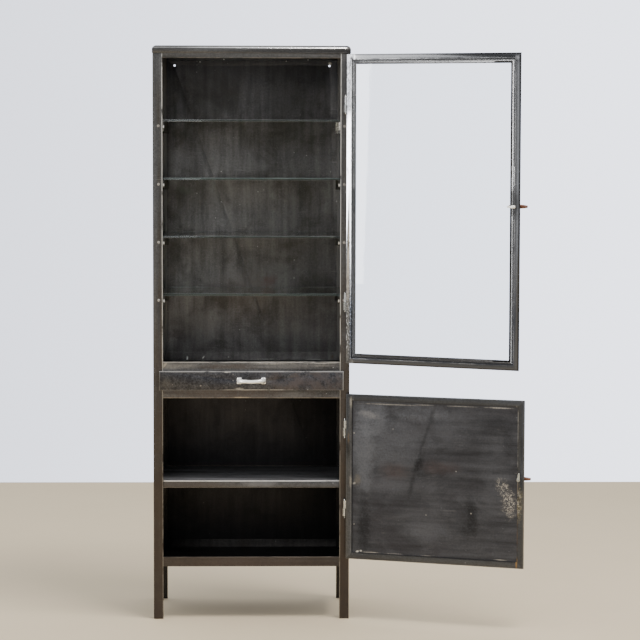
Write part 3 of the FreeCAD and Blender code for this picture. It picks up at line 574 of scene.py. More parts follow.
def sheet_marks(place, color, roughness):
    """The lower door's inner face: stains, pale corners, chipped edges and a scratched patch."""
    plain = color
    dark, pale, red = (0.015, 0.016, 0.019), (0.196, 0.212, 0.248), (0.09, 0.06, 0.056)
    chip = (0.58, 0.56, 0.52)
    color = add_marks(place, color, (
        (-0.08, 0.59, 0.07, 0.06, pale, 0.5, 10), (-0.055, 0.49, 0.04, 0.14, pale, 0.5),
        (-0.14, 0.53, 0.12, 0.12, pale, 0.3, 15), (-0.24, 0.61, 0.1, 0.03, pale, 0.4),
        (-0.3, 0.56, 0.08, 0.05, pale, 0.15), (-0.12, 0.39, 0.08, 0.05, pale, 0.22),
        (-0.46, 0.58, 0.05, 0.05, dark, 0.35), (-0.25, 0.43, 0.16, 0.04, dark, 0.25),
        (-0.1527, 0.4376, 0.05, 0.03, red, 0.4), (-0.2871, 0.4555, 0.07, 0.022, red, 0.35),
        (-0.45, 0.45, 0.05, 0.1, pale, 0.18), (-0.25, 0.27, 0.09, 0.04, pale, 0.2),
    ), 25)
    color = add_marks(place, color, (
        (-0.262, 0.605, 0.009, 0.04, dark, 0.5, -19),
        (-0.24, 0.535, 0.006, 0.06, dark, 0.45, -19), (-0.222, 0.46, 0.015, 0.04, dark, 0.9, -24),
        (-0.203, 0.405, 0.009, 0.045, dark, 0.65, -12), (-0.06, 0.275, 0.022, 0.1, dark, 0.75),
        (-0.381, 0.325, 0.02, 0.06, dark, 0.8, 8), (-0.37, 0.28, 0.028, 0.024, dark, 0.6),
        (-0.49, 0.53, 0.022, 0.06, dark, 0.3),
        (-0.075, 0.6, 0.035, 0.012, (0.35, 0.35, 0.36), 0.4, -12),
        (-0.35, 0.6345, 0.05, 0.0018, chip, 0.45), (-0.46, 0.6345, 0.045, 0.0022, chip, 0.8),
        (-0.04, 0.2, 0.006, 0.0035, (0.8, 0.8, 0.78), 0.9, 20),
        (-0.05, 0.203, 0.004, 0.003, (0.7, 0.7, 0.68), 0.8),
        (-0.14, 0.632, 0.09, 0.0022, chip, 0.55), (-0.241, 0.6345, 0.03, 0.0018, chip, 0.5),
        (-0.466, 0.2005, 0.02, 0.0016, chip, 0.8), (-0.08, 0.2, 0.03, 0.0018, chip, 0.6),
        (-0.15, 0.2, 0.03, 0.0016, chip, 0.4), (-0.25, 0.2, 0.02, 0.0014, chip, 0.4),
        (-0.1461, 0.5618, 0.0014, 0.0024, chip, 0.5), (-0.3345, 0.4476, 0.002, 0.002, chip, 0.6),
        (-0.0285, 0.5452, 0.0026, 0.0022, chip, 0.9),
        (-0.3796, 0.3291, 0.0028, 0.0028, chip, 0.7),
        (-0.2462, 0.3178, 0.0028, 0.0026, chip, 0.6),
        (-0.03, 0.3996, 0.005, 0.004, chip, 0.7, 20), (-0.0294, 0.2801, 0.002, 0.0022, chip, 0.9),
        (-0.04, 0.41, 0.012, 0.02, (0.2, 0.18, 0.14), 0.5),
    ), 80)
    clouds = noise(place, (6, 6, 11), 7, 0.7, 0.8)
    color = mix(span(clouds, 0.5, 0.7, 0, 0.42), color, (0.117, 0.122, 0.14))
    color = mix(span(clouds, 0.5, 0.32, 0, 0.45), color, (0.022, 0.022, 0.026))
    fray = fraying(place, 60)
    area = patch(place, fray, -0.474, 0.405, 0.02, 0.034, 24, 2.2) * 0.75
    area = calculate("MAXIMUM", area, patch(place, fray, -0.492, 0.362, 0.024, 0.044, 6, 2.2))
    area *= flaking(place)
    color = mix(area * 0.95, color, (0.66, 0.62, 0.55))
    fine = scratches(place, -28, (4, 60, 300), 0.42)
    color = mix(fine * 0.35, color, (0.3, 0.3, 0.3))
    roughness += area * 0.2
    inside = inner_face(place, "lower", "lower_door_panel")
    return mix(inside, plain, color), roughness


def lower_rim_marks(place, color, roughness):
    """The lower door's rim: a dark free stile with a rusty line, and olive crust by the latch."""
    across = place.x
    inset, level = door_insets(place, "lower")
    side = 1 - level
    free_side = side * span(across, -0.4, -0.41, 0, 0.6)
    color = mix(free_side, color, (0.035, 0.035, 0.036))
    color = mix(level * 0.5, color, (0.04, 0.041, 0.043))
    # Painted shade in the groove beside the sheet.
    groove = near_line(inset, 0.0178, 0.0014)
    color = mix(groove * 0.4, color, (0.015, 0.015, 0.015))
    ledge = near_line(inset, 0.0152, 0.001) * span(noise(place, 9), 0.44, 0.54)
    ledge *= span(across, -0.03, -0.026)
    color = mix(ledge * 0.28, color, (0.36, 0.36, 0.36))
    rim_line = near_line(inset, 0.0012, 0.0012)
    color = mix(rim_line * 0.35, color, (0.2, 0.2, 0.19))
    line = near_line(across, -0.5148, 0.0026) * span(noise(place, 22), 0.4, 0.54)
    tone = mix(span(place.z, 0.46, 0.38), (0.42, 0.42, 0.41), (0.2, 0.12, 0.06))
    color = mix(line * 0.7, color, tone)
    pale_line = near_line(across, -0.0262, 0.0018) * span(noise(place, 16), 0.42, 0.55)
    color = mix(pale_line * 0.3, color, (0.36, 0.36, 0.36))
    plain = color
    olive, chip = (0.3, 0.26, 0.15), (0.55, 0.52, 0.45)
    color = add_marks(place, color, (
        (-0.5215, 0.366, 0.011, 0.05, (0.09, 0.08, 0.055), 0.7),
        (-0.528, 0.52, 0.005, 0.05, (0.02, 0.02, 0.02), 0.6),
        (-0.527, 0.42, 0.007, 0.03, (0.02, 0.02, 0.02), 0.6),
        (-0.5145, 0.2, 0.003, 0.02, (0.4, 0.25, 0.1), 0.8),
        (-0.512, 0.632, 0.004, 0.012, chip, 0.4), (-0.02, 0.635, 0.004, 0.02, chip, 0.5),
        (-0.012, 0.5, 0.008, 0.035, (0.02, 0.02, 0.018), 0.7),
        (-0.02, 0.405, 0.005, 0.02, chip, 0.35),
        (-0.013, 0.53, 0.004, 0.02, (0.3, 0.2, 0.1), 0.3),
    ), 120)
    crust = patch(place, fraying(place, 60), -0.52, 0.366, 0.012, 0.055, 0, 1.6)
    crust *= flaking(place)
    crust_color = mix(span(noise(place, 60), 0.42, 0.55), olive, chip)
    color = mix(crust * 0.9, color, crust_color)
    inside = inner_face(place, "lower", "lower_door_frame")
    return mix(inside, plain, color), roughness


def upper_rim_marks(place, color, roughness):
    """The upper door's rim: polished on the hinge side, and darker along its other three sides,
    partly a duller finish and partly painted shade.
    """
    across = place.x
    height = place.z
    inset, level = door_insets(place, "upper")
    # The three other sides are darkened, more towards the free side: partly a duller finish,
    # partly painted shade.
    dull = span(across, -0.026, -0.034)
    color = mix(dull * 0.82, color, (0.05, 0.051, 0.054))
    level *= dull
    near_end = span(across, -0.03, -0.25, 0.3, 0.75)
    color = mix(level * near_end, color, (0.04, 0.041, 0.043))
    far_end = span(across, -0.25, -0.45, 0, 0.5)
    color = mix(level * far_end, color, (0.02, 0.02, 0.021))
    low = span(height, 1, 0.9)
    hinge_stile = span(across, -0.034, -0.026)
    low_tone = mix(hinge_stile, (0.092, 0.099, 0.116), (0.07, 0.083, 0.112))
    color = mix(low * 0.85, color, low_tone)
    crusty = noise(stretched(place, (1, 1, 0.5)), 170, 6, 0.75)
    crusty = span(crusty, 0.44, 0.58)
    upper_part = span(height, 1.45, 1.475) * hinge_stile
    worn_tone = mix(crusty, (0.21, 0.215, 0.222), (0.07, 0.072, 0.077))
    color = mix(upper_part * 0.95, color, worn_tone)
    lower_part = span(height, 1.06, 0.98, 0, 0.6) * hinge_stile
    color = mix(crusty * lower_part, color, (0.02, 0.022, 0.026))
    duller = calculate("MAXIMUM", upper_part, crusty * lower_part)
    roughness += duller * 0.15
    glints = span(noise(stretched(place, (1, 1, 0.5)), 230, 4, 0.7), 0.51, 0.58)
    glints *= low * hinge_stile
    glints *= span(height, 0.77, 0.81, 0.2, 1)
    color = mix(glints * 0.9, color, (0.66, 0.74, 0.92))
    top_end = span(height, 1.6, 1.612) * span(across, -0.03, -0.06)
    color = mix(top_end * 0.5, color, (0.06, 0.062, 0.066))
    # Painted shade along the rounded outer edge.
    shade = span(inset, 0.005, 0.0025, 0, 0.8)
    color = mix(shade * dull, color, (0.035, 0.035, 0.037))
    rubbed = span(noise(place, 18, 4), 0.38, 0.55)
    light_line = near_line(inset, 0.0142, 0.0018) * rubbed
    color = mix(light_line * 0.35, color, (0.5, 0.5, 0.51))
    # Painted shade in the groove beside the bead.
    groove = near_line(inset, 0.0175, 0.002)
    color = mix(groove * 0.7, color, (0.02, 0.02, 0.02))
    color = add_marks(place, color, (
        (-0.0225, 1.619, 0.005, 0.013, (0.01, 0.01, 0.01), 0.95, 45),
        (-0.015, 1.603, 0.004, 0.018, (0.02, 0.02, 0.02), 0.9, -20),
        (-0.031, 1.612, 0.005, 0.014, (0.02, 0.02, 0.02), 0.9, -35),
        (-0.012, 1.52, 0.005, 0.05, (0.06, 0.063, 0.07), 0.75),
        (-0.008, 1.47, 0.003, 0.04, (0.08, 0.085, 0.09), 0.75),
        (-0.01, 1.3, 0.003, 0.012, (0.04, 0.035, 0.03), 0.8, 10),
        (-0.013, 1.09, 0.003, 0.016, (0.05, 0.045, 0.04), 0.8),
        (-0.518, 1.3, 0.002, 0.03, (0.8, 0.8, 0.8), 0.9),
        (-0.519, 1.275, 0.0018, 0.012, (0.9, 0.9, 0.9), 0.9),
        (-0.524, 1.62, 0.006, 0.008, (0.4, 0.4, 0.41), 0.7, 40),
    ), 140)
    fray = fraying(place, 60)
    stain = patch(place, fray, -0.52, 1.213, 0.04, 0.045)
    color = mix(stain * 0.7, color, (0.05, 0.05, 0.05))
    roughness += dull * 0.14
    return color, roughness


def bead_marks(place, color, roughness):
    """The bead: polished, with a dark joint at the glass, a tarnished stretch by the latch, and
    painted shade on its hinge side.
    """
    height = place.z
    inset, level = door_insets(place, "upper")
    stain = span(height, 1.165, 1.185) * span(height, 1.262, 1.245)
    stain = calculate("MAXIMUM", stain, level * 0.8)
    dirty = span(noise(place, 12, 3), 0.58, 0.7)
    lower = span(height, 1.2, 1.15, 0, 0.72)
    dull = calculate("MAXIMUM", calculate("MAXIMUM", stain, lower), dirty)
    color = mix(dull * 0.85, color, (0.1, 0.1, 0.1))
    across = place.x
    foot = level * span(height, 0.9, 0.85, 0, 0.75)
    color = mix(foot, color, (0.042, 0.035, 0.03))
    # Painted shade: the hinge side is darkened where the bead reflects dark surroundings.
    hinge_side_shade = span(across, -0.05, -0.04) * 0.7
    color = mix(hinge_side_shade, color, (0.1, 0.103, 0.108))
    inner_edge = rim_band + bead_width + 0.0003
    joint = near_line(inset, inner_edge, 0.003) * 0.8
    free_joint = near_line(inset, inner_edge, 0.0068) * span(across, -0.45, -0.46)
    dark = calculate("MAXIMUM", joint, free_joint)
    color = mix(dark * 0.97, color, (0.008, 0.008, 0.008))
    roughness += dark * 0.6
    return color, roughness


def bracket_marks(place, color, roughness):
    """Brackets are as dark as the panel, but for one at the top right that is much paler, and the
    tips of the front tabs carry painted highlights.
    """
    fray = fraying(place, 120)
    rubbed = patch(place, fray, 0.258, 1.426, 0.03, 0.034, 0, 0.6)
    rubbed *= span(noise(place, 260, 4, 0.7), 0.46, 0.56, 0.25, 1)
    color = mix(rubbed * 0.95, color, (0.8, 0.8, 0.8))
    front = span(place.y, -0.13, -0.14)
    for low, high in islands("shelf_brackets"):
        if low.y < 0:
            tip = low.x if low.x > 0 else high.x
            # Painted highlights where light catches the tips of the front tabs.
            spot = patch(place, fray, tip, high.z - 0.014, 0.005, 0.005, 0, 0.8) * front
            color = mix(spot * 0.9, color, (0.9, 0.9, 0.88))
    return color, roughness


def shelf_marks(place, color, roughness):
    """The steel shelf: a pale rubbed line along the top of its folded front."""
    height = place.z
    depth = place.y
    across = place.x
    front = span(depth, -0.1505, -0.153)
    top = span(height, shelf_top - 0.0005, shelf_top + 0.0004) * span(front, 1, 0.5)
    wiped = noise(place, (2.5, 22, 9), 5, 0.65, 0.5)
    wiped = top * span(wiped, 0.4, 0.62, 0.1, 0.8)
    color = mix(wiped, color, (0.46, 0.46, 0.48))
    lip = span(height, shelf_top - 0.002, shelf_top - 0.004)
    color = mix(lip * 0.35, color, (0.05, 0.049, 0.05))
    brown = lip * span(across, -0.03, -0.12, 0, 0.6)
    color = mix(brown, color, (0.085, 0.073, 0.068))
    scraped = patch(place, fraying(place, 60), 0.02, 0.394, 0.06, 0.012)
    color = mix(scraped * 0.5, color, (0.24, 0.24, 0.25))
    rubbed = span(noise(place, (12, 9, 60)), 0.3, 0.46)
    line = near_line(height, shelf_top, 0.0026) * rubbed * front
    line *= span(across, 0.262, 0.235, 0.5, 1)
    color = mix(line * 0.95, color, (0.85, 0.84, 0.82))
    return color, roughness


def lid_marks(place, color, roughness):
    """The lid: a painted highlight along its rounded front edge, brighter to the right and broken
    by noise, with painted shade below it, at its left end, at its right corner and along its
    crest.
    """
    height = place.z
    rubbed = span(noise(place, (10, 9, 60)), 0.2, 0.45)
    across = place.x
    right = span(across, -0.22, 0.1, 0.15, 1)
    corner = span(across, 0.268, 0.277)
    # Painted highlight where the lamp above catches the rounded front edge.
    line = near_line(height, lid_highlight_height, 0.002) * rubbed * right * (1 - corner)
    color = mix(line * 0.9, color, (0.9, 0.88, 0.85))
    # Painted shade below the highlight, at the left end, at the right corner and on the crest.
    shade_below_highlight = span(height, 1.6495, 1.648) * span(height, 1.637, 1.641)
    color = mix(shade_below_highlight * 0.4, color, (0.03, 0.029, 0.028))
    left_end_shade = span(right, 0.15, 0.35, 0.35, 0)
    color = mix(left_end_shade, color, (0.05, 0.048, 0.046))
    color = mix(corner * 0.8, color, (0.03, 0.029, 0.028))
    crest_shade = span(height, 1.6538, 1.655) * span(place.y, -0.142, -0.148)
    color = mix(crest_shade * 0.85, color, (0.03, 0.029, 0.028))
    roughness += crest_shade * 0.2
    roughness += corner * 0.25
    roughness -= line * 0.12
    return color, roughness


# Other materials

def worn_edge(name, color, door=None):
    """Steel rubbed bright along an edge, with dark gaps where the finish has stayed."""
    material, place = new_material(name, door, Metallic=0.9)
    rubbed = noise(place, 60, 5, 0.7)
    tinted = mix(span(rubbed, 0.36, 0.55), [0.35 * part for part in color], color)
    roughness = span(rubbed, 0.3, 0.7, 0.5, 0.28)
    return finish_material(material, tinted, roughness, noise(place, 500), 0.0002)


def screw_dullness(place, color):
    """Screws are darkened with painted shade, more on the right post and towards the top of both
    posts.
    """
    right = span(place.x, 0, 0.1, 0.25, 0.6)
    top = span(place.z, 1, 1.4, 0.4, 1)
    return mix(right * top, color, (0.1, 0.085, 0.07))


def nickel(name, color, tarnish, amount, metallic=0.55, gloss=(0.22, 0.45), extra=None):
    """Nickel plate that has yellowed and lost its shine in patches."""
    material, place = new_material(name, Metallic=metallic)
    patches = noise(place, 160, 6, 0.65)
    plated = mix(span(patches, 0.62 - amount, 0.75, 0, 0.9), color, tarnish)
    if extra:
        plated = extra(place, plated)
    roughness = span(patches, 0.35, 0.7, *gloss)
    return finish_material(material, plated, roughness, noise(place, 700), 0.00015)


def turned_wood(name, dark, light, grain):
    """Polished brown wood with its grain along one axis."""
    material, place = new_material(name, Coat_Weight=0.4, Coat_Roughness=0.2)
    rings = noise(place, grain, 6, 0.6, 0.6)
    color = mix(span(rings, 0.3, 0.7), dark, light)
    return finish_material(material, color, span(rings, 0.3, 0.7, 0.45, 0.32), rings, 0.0002)


def clear_glass(name, tint, roughness, smear):
    """Thin window glass with faint smears on its surface."""
    material, place = new_material(name, Transmission_Weight=1, IOR=1.45)
    wipes = noise(place, (9, 9, 4), 5, 0.6, 1.2)
    smears = span(wipes, 0.45, 0.75, roughness, roughness + smear)
    return finish_material(material, (*tint, 1), smears, wipes, 0.0003, 0.15)


def glass_rim(name, dark, light):
    """The ground green edge of a glass shelf, which lets little light through."""
    material, place = new_material(name, Specular_IOR_Level=0.6)
    tone = noise(place, (6, 6, 90), 4, 0.6)
    color = mix(span(tone, 0.35, 0.65), dark, light)
    roughness = span(tone, 0.3, 0.7, 0.12, 0.3)
    return finish_material(material, color, roughness, noise(place, 300), 0.0001)


# Mesh helpers

def add_object(name, mesh):
    """Put a finished mesh into the scene."""
    piece = bpy.data.objects.new(name, mesh)
    bpy.context.collection.objects.link(piece)
    return piece


def new_piece(name, mesh, materials, node):
    """Put a finished mesh into the scene in place of a node."""
    piece = add_object(name, mesh)
    mesh.materials.clear()
    for material in materials:
        mesh.materials.append(material)
    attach(piece, body_of[node])
    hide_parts(node)
    return piece


def finish_mesh(work, name, sharp_angle=40):
    """Turn mesh work into smooth-shaded mesh data with sharp edges past an angle."""
    bmesh.ops.recalc_face_normals(work, faces=work.faces)
    for face in work.faces:
        face.smooth = True
    mesh = bpy.data.meshes.new(name)
    work.to_mesh(mesh)
    work.free()
    mesh.set_sharp_from_angle(angle=math.radians(sharp_angle))
    return mesh


def door_piece(name, work, door, materials, node, sharp_angle=40):
    """Finish mesh work that was made on a closed door, and swing it open in place of a node."""
    mesh = finish_mesh(work, name, sharp_angle)
    mesh.transform(swing(door))
    return new_piece(name, mesh, materials, node)


def round_edges(piece, width, material=1):
    """Round a piece's edges, with their own material along them."""
    rounding = piece.modifiers.new("edges", "BEVEL")
    rounding.width = width
    rounding.segments = 2
    rounding.limit_method = "ANGLE"
    rounding.angle_limit = math.radians(35)
    rounding.material = material
    rounding.harden_normals = True
    return piece


def cleaned(node):
    """A copy of a node's mesh with flat faces merged, and its roundings marked as edges."""
    mesh = nodes[node].data.copy()
    work = bmesh.new()
    work.from_mesh(mesh)
    bmesh.ops.remove_doubles(work, verts=work.verts, dist=same_place)
    bmesh.ops.dissolve_limit(
        work, angle_limit=math.radians(1), verts=work.verts, edges=work.edges
    )
    for face in work.faces:
        face.smooth = True
        face.material_index = 0 if max(map(abs, face.normal)) > 0.999 else 1
    work.to_mesh(mesh)
    work.free()
    return mesh


def dressed(node, surface, edges, width=edge_width):
    """A node's own shape with rounded edges, and worn steel along them."""
    piece = new_piece(node + "_dressed", cleaned(node), (surface, edges), node)
    return round_edges(piece, width)


def ring_faces(work, rings, caps=True):
    """Join closed rings of vertices with faces, and close the two ends."""
    count = len(rings[0])
    for lower, upper in zip(rings, rings[1:]):
        for index in range(count):
            after = (index + 1) % count
            work.faces.new((lower[index], lower[after], upper[after], upper[index]))
    if caps:
        work.faces.new(list(reversed(rings[0])))
        work.faces.new(rings[-1])


def turns(count):
    """The angles of a full turn in equal steps."""
    return [2 * math.pi * index / count for index in range(count)]


def lathe(work, start, direction, profile, segments=40):
    """Add a turned solid: profile holds pairs of distance along the axis and radius."""
    axis = Vector(direction).normalized()
    across = axis.orthogonal().normalized()
    other = axis.cross(across)
    rings = []
    for distance, radius in profile:
        center = Vector(start) + axis * distance
        rings.append([
            work.verts.new(center + (across * math.cos(turn) + other * math.sin(turn)) * radius)
            for turn in turns(segments)
        ])
    ring_faces(work, rings)


def add_box(work, low, high):
    """Add a box between two corners."""
    made = bmesh.ops.create_cube(work, size=1)
    for vertex in made["verts"]:
        for axis in range(3):
            middle = (low[axis] + high[axis]) / 2
            vertex.co[axis] = middle + vertex.co[axis] * (high[axis] - low[axis])


def arc(center, radius, start_degrees, end_degrees, steps):
    """Points of an arc as pairs of distance and radius."""
    points = []
    for index in range(steps + 1):
        turn = math.radians(start_degrees + (end_degrees - start_degrees) * index / steps)
        points.append((center[0] + radius * math.cos(turn), center[1] + radius * math.sin(turn)))
    return points


def islands(node):
    """The boxes of a node's separate solids."""
    work = bmesh.new()
    work.from_mesh(nodes[node].data)
    bmesh.ops.remove_doubles(work, verts=work.verts, dist=same_place)
    left = set(work.verts)
    boxes = []
    for first in work.verts:
        if first not in left:
            continue
        left.remove(first)
        stack = [first]
        group = []
        while stack:
            vertex = stack.pop()
            group.append(vertex.co.copy())
            for edge in vertex.link_edges:
                other = edge.other_vert(vertex)
                if other in left:
                    left.remove(other)
                    stack.append(other)
        boxes.append(box_round(group))
    work.free()
    return boxes


# Doors

def rim_work(low, high, profile):
    """A mitred rim round a closed door: profile pairs hold the inset from the edge and y."""
    work = bmesh.new()
    rings = []
    for inset, y in profile:
        left, right = low.x + inset, high.x - inset
        bottom, top = low.z + inset, high.z - inset
        corners = ((left, bottom), (right, bottom), (right, top), (left, top))
        rings.append([work.verts.new((x, y, z)) for x, z in corners])
    ring_faces(work, rings + rings[:1], caps=False)
    return work


def door_rim(door, surface, edges):
    """A door's rim with a sloped shoulder beside its infill."""
    node = door + "_door_frame"
    low, high = closed_box(node, door)
    inner, outer = high.y, low.y
    floor_y = inner - rim_rebate_depth
    width = rim_band + rim_rebate
    r = rim_edge_radius
    profile = [
        (0, outer + r), (0, inner - r), (r * 0.3, inner - r * 0.3), (r, inner),
        (rim_band - rim_slope_width, inner), (rim_band, inner - rim_slope_depth),
        (rim_band, floor_y), (width - r * 0.3, floor_y), (width, floor_y - r * 0.3),
        (width, outer + r * 0.3), (width - r * 0.3, outer), (r, outer),
        (r * 0.3, outer + r * 0.3),
    ]
    work = rim_work(low, high, profile)
    door_piece(node + "_rim", work, door, (surface, edges), node, rim_sharp_angle)


def make_bead(surface):
    """The bead round the upper door's glass, which slopes down towards the glass."""
    low, high = closed_box("upper_door_bead", "upper")
    r = bead_edge_radius
    thin_y = high.y - bead_slope
    profile = [
        (0, low.y), (0, high.y - r), (r * 0.3, high.y - r * 0.3), (r, high.y),
        (bead_width - r, thin_y), (bead_width - r * 0.3, thin_y - r * 0.3),
        (bead_width, thin_y - r), (bead_width, low.y),
    ]
    work = rim_work(low, high, profile)
    door_piece(
        "upper_door_bead_strip", work, "upper", (surface,), "upper_door_bead", rim_sharp_angle
    )


def make_door_glass(surface, edges):
    """The pane of the upper door."""
    work = bmesh.new()
    add_box(work, *closed_box("upper_door_glass", "upper"))
    piece = door_piece("upper_door_pane", work, "upper", (surface, edges), "upper_door_glass")
    round_edges(piece, sheet_edge_width)


def make_door_sheet(surface):
    """The sheet of the lower door, slightly dished between its welds."""
    low, high = closed_box("lower_door_panel", "lower")
    work = bmesh.new()
    columns, rows = sheet_grid
    random.seed(7)
    waves = [
        (random.uniform(3, 9), random.uniform(3, 9), random.uniform(0, 6), random.uniform(0, 6))
        for _ in range(5)
    ]

    def lift(u, v):
        total = sum(
            math.sin(a * u + c) * math.sin(b * v + d) for a, b, c, d in waves
        ) / len(waves)
        return sheet_wave_height * total * math.sin(math.pi * u) * math.sin(math.pi * v)

    sides = []
    for y in (low.y, high.y):
        grid = []
        for row in range(rows + 1):
            line = []
            for column in range(columns + 1):
                u, v = column / columns, row / rows
                x = low.x + (high.x - low.x) * u
                z = low.z + (high.z - low.z) * v
                line.append(work.verts.new((x, y + lift(u, v), z)))
            grid.append(line)
        for line, above in zip(grid, grid[1:]):
            for column in range(columns):
                after = column + 1
                work.faces.new((line[column], line[after], above[after], above[column]))
        rim = grid[0] + [line[-1] for line in grid[1:]]
        rim += grid[-1][-2::-1] + [line[0] for line in grid[-2:0:-1]]
        sides.append(rim)
    ring_faces(work, sides, caps=False)
    door_piece("lower_door_sheet", work, "lower", (surface,), "lower_door_panel")


# Hinges

def add_knuckle(work, place, direction):
    """One turned knuckle with a necked ball at its outer end."""
    r = knuckle_radius
    profile = [
        (knuckle_gap, r * 0.9), (knuckle_gap + r * 0.1, r),
        (barrel_half - r * 0.15, r), (barrel_half, r * 0.85), (barrel_half, neck_radius),
        (ball_center - ball_radius * 0.9, neck_radius * 0.8),
    ]
    ball = arc((ball_center, 0), ball_radius, 140, 4, 10)
    lathe(work, place, (0, 0, direction), profile + ball, 32)


def hinge_places(node, direction):
    """The joint line of each hinge, from the knuckles of a node."""
    places = []
    for low, high in islands(node):
        z = high.z + knuckle_gap if direction < 0 else low.z - knuckle_gap
        places.append(Vector((hinge_line.x, hinge_line.y, z)))
    return places


def make_frame_hinges(surface):
    """The four lower knuckles with their leaves on the post."""
    node = "frame_hinge_knuckles"
    work = bmesh.new()
    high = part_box(node)[1]
    for place in hinge_places(node, -1):
        add_knuckle(work, place, -1)
        leaf_low = (leaf_start, high.y - leaf_thickness, place.z - barrel_half)
        leaf_high = (high.x, high.y, place.z - knuckle_gap)
        add_box(work, leaf_low, leaf_high)
    new_piece("frame_hinge_barrels", finish_mesh(work, "frame_hinges"), (surface,), node)


def make_door_hinges(door, surface):
    """The upper knuckles of one door with their leaves on its edge."""
    node = door + "_hinge_knuckles"
    work = bmesh.new()
    low, high = closed_box(node, door)
    for place in hinge_places(node, 1):
        add_knuckle(work, place, 1)
        leaf_low = (low.x, high.y - door_leaf_far, place.z + knuckle_gap)
        leaf_high = (low.x + leaf_thickness, high.y - door_leaf_near, place.z + barrel_half)
        add_box(work, leaf_low, leaf_high)
    door_piece(door + "_hinge_barrels", work, door, (surface,), node)


# Latches

def latch_stem(axis, boxes, seat_y):
    """Hub, spindle and stem of a latch, turned round its axis."""
    tongue_low, tongue_high = boxes["tongue"]
    rosette_low = boxes["rosette"][0]
    spindle_end = boxes["spindle"][1].y
    hub = [
        (axis.y + latch_seam, hub_radius), (tongue_low.y - 0.0012, hub_radius),
        (tongue_low.y, hub_radius * 0.9), (tongue_low.y, peg_radius), (tongue_high.y, peg_radius),
        (tongue_high.y, spindle_radius), (spindle_end - 0.0004, 0.0027), (spindle_end, 0.0016),
    ]
    stem = [
        (rosette_low.y - latch_seam, stem_radius), (rosette_low.y - 0.002, stem_radius),
        (rosette_low.y - 0.004, stem_radius * 0.72), (seat_y + 0.004, stem_radius * 0.68),
        (seat_y + 0.0015, stem_radius), (seat_y, stem_radius),
    ]
    spindle = [(rosette_low.y, spindle_radius), (axis.y + latch_seam, spindle_radius)]
    work = bmesh.new()
    for profile in (hub, stem[::-1], spindle):
        lathe(work, (axis.x, 0, axis.z), (0, 1, 0), profile)
    return work


def latch_tongue(axis, box, tongue_degrees):
    """A tapered flat tongue with round ends, turned about the latch's axis."""
    low, high = box
    lean = math.degrees(math.asin((tongue_root_radius - tongue_tip_radius) / tongue_reach))
    outline = arc((0, 0), tongue_root_radius, 90 - lean, 270 + lean, 18)
    outline += arc((tongue_reach, 0), tongue_tip_radius, -90 + lean, 90 - lean, 12)
    layers = [
        (low.y, tongue_chamfer), (low.y + tongue_chamfer, 0),
        (high.y - tongue_chamfer, 0), (high.y, tongue_chamfer),
    ]
    turn = Matrix.Rotation(math.radians(-tongue_degrees), 3, "Y")
    work = bmesh.new()
    rings = []
    for y, inset in layers:
        ring = []
        for x, z in outline:
            middle = Vector((min(max(x, 0), tongue_reach), 0, 0))
            spoke = Vector((x, 0, z)) - middle
            spoke *= max(0, 1 - inset / max(spoke.length, inset))
            ring.append(work.verts.new(Vector((axis.x, y, axis.z)) + turn @ (middle + spoke)))
        rings.append(ring)
    ring_faces(work, rings)
    return work


def latch_rosette(axis, box):
    """The round plate under a handle, with a rounded rim."""
    low, high = box
    profile = [
        (high.y, rosette_radius), (low.y + 0.0007, rosette_radius),
        (low.y + 0.0002, rosette_radius * 0.9), (low.y, rosette_radius * 0.8),
        (low.y, rosette_hole_radius),
    ]
    work = bmesh.new()
    lathe(work, (axis.x, 0, axis.z), (0, -1, 0), [(-y, radius) for y, radius in profile])
    return work


def latch_handle(axis, handle_y):
    """A turned handle that swells towards its middle."""
    steps = 24
    whole = 2 * handle_half_length
    ends = ((0, 0.0001), (0, handle_end_radius * 0.55), (0.0005, handle_end_radius * 0.9))
    profile = list(ends)
    for index in range(steps + 1):
        share = index / steps
        swell = 1 - (2 * share - 1) ** 2
        radius = handle_end_radius + (handle_radius - handle_end_radius) * swell
        profile.append((0.0012 + share * (whole - 0.0024), radius))
    profile += [(whole - distance, radius) for distance, radius in reversed(ends)]
    work = bmesh.new()
    lathe(work, (axis.x - handle_half_length, handle_y, axis.z), (1, 0, 0), profile)
    return work


def make_latch(door, metal, wood, tongue_degrees):
    """The four pieces of one latch, made with its door closed."""
    axis = swing(door).inverted() @ Vector(joints[door + "_latch_turn"]["pos_m"])
    boxes = {
        part: closed_box(door + "_latch_" + part, door)
        for part in ("tongue", "spindle", "rosette", "handle")
    }
    handle_low, handle_high = boxes["handle"]
    handle_y = (handle_low.y + handle_high.y) / 2
    seat_y = handle_y + handle_radius * 0.75
    for name, part, work, material, sharp_angle in (
        ("hub_and_stem", "spindle", latch_stem(axis, boxes, seat_y), metal, 40),
        ("finger", "tongue", latch_tongue(axis, boxes["tongue"], tongue_degrees), metal, 30),
        ("plate", "rosette", latch_rosette(axis, boxes["rosette"]), metal, 40),
        ("grip", "handle", latch_handle(axis, handle_y), wood, 40),
    ):
        prefix = door + "_latch_"
        door_piece(prefix + name, work, door, (material,), prefix + part, sharp_angle)


# Drawer pull

def pull_route(half, face_y, z):
    """Points along the middle of the pull's bar, from one foot to the other."""
    route = [Vector((-half, face_y, z)), Vector((-half, face_y - 0.003, z))]
    straight = pull_reach - pull_bend_depth
    for index in range(pull_bend_steps + 1):
        share = index / pull_bend_steps
        turn = math.radians(90 * share)
        route.append(Vector((
            -half + pull_bend_width * (1 - math.cos(turn)),
            face_y - straight - pull_bend_depth * math.sin(turn),
            z + 0.0006 * (1 - share),
        )))
    route += [
        Vector((x * half, face_y - pull_reach, z - pull_sag * (1 + x))) for x in (-0.25, 0)
    ]
    return route + [Vector((-place.x, place.y, place.z)) for place in reversed(route[:-1])]


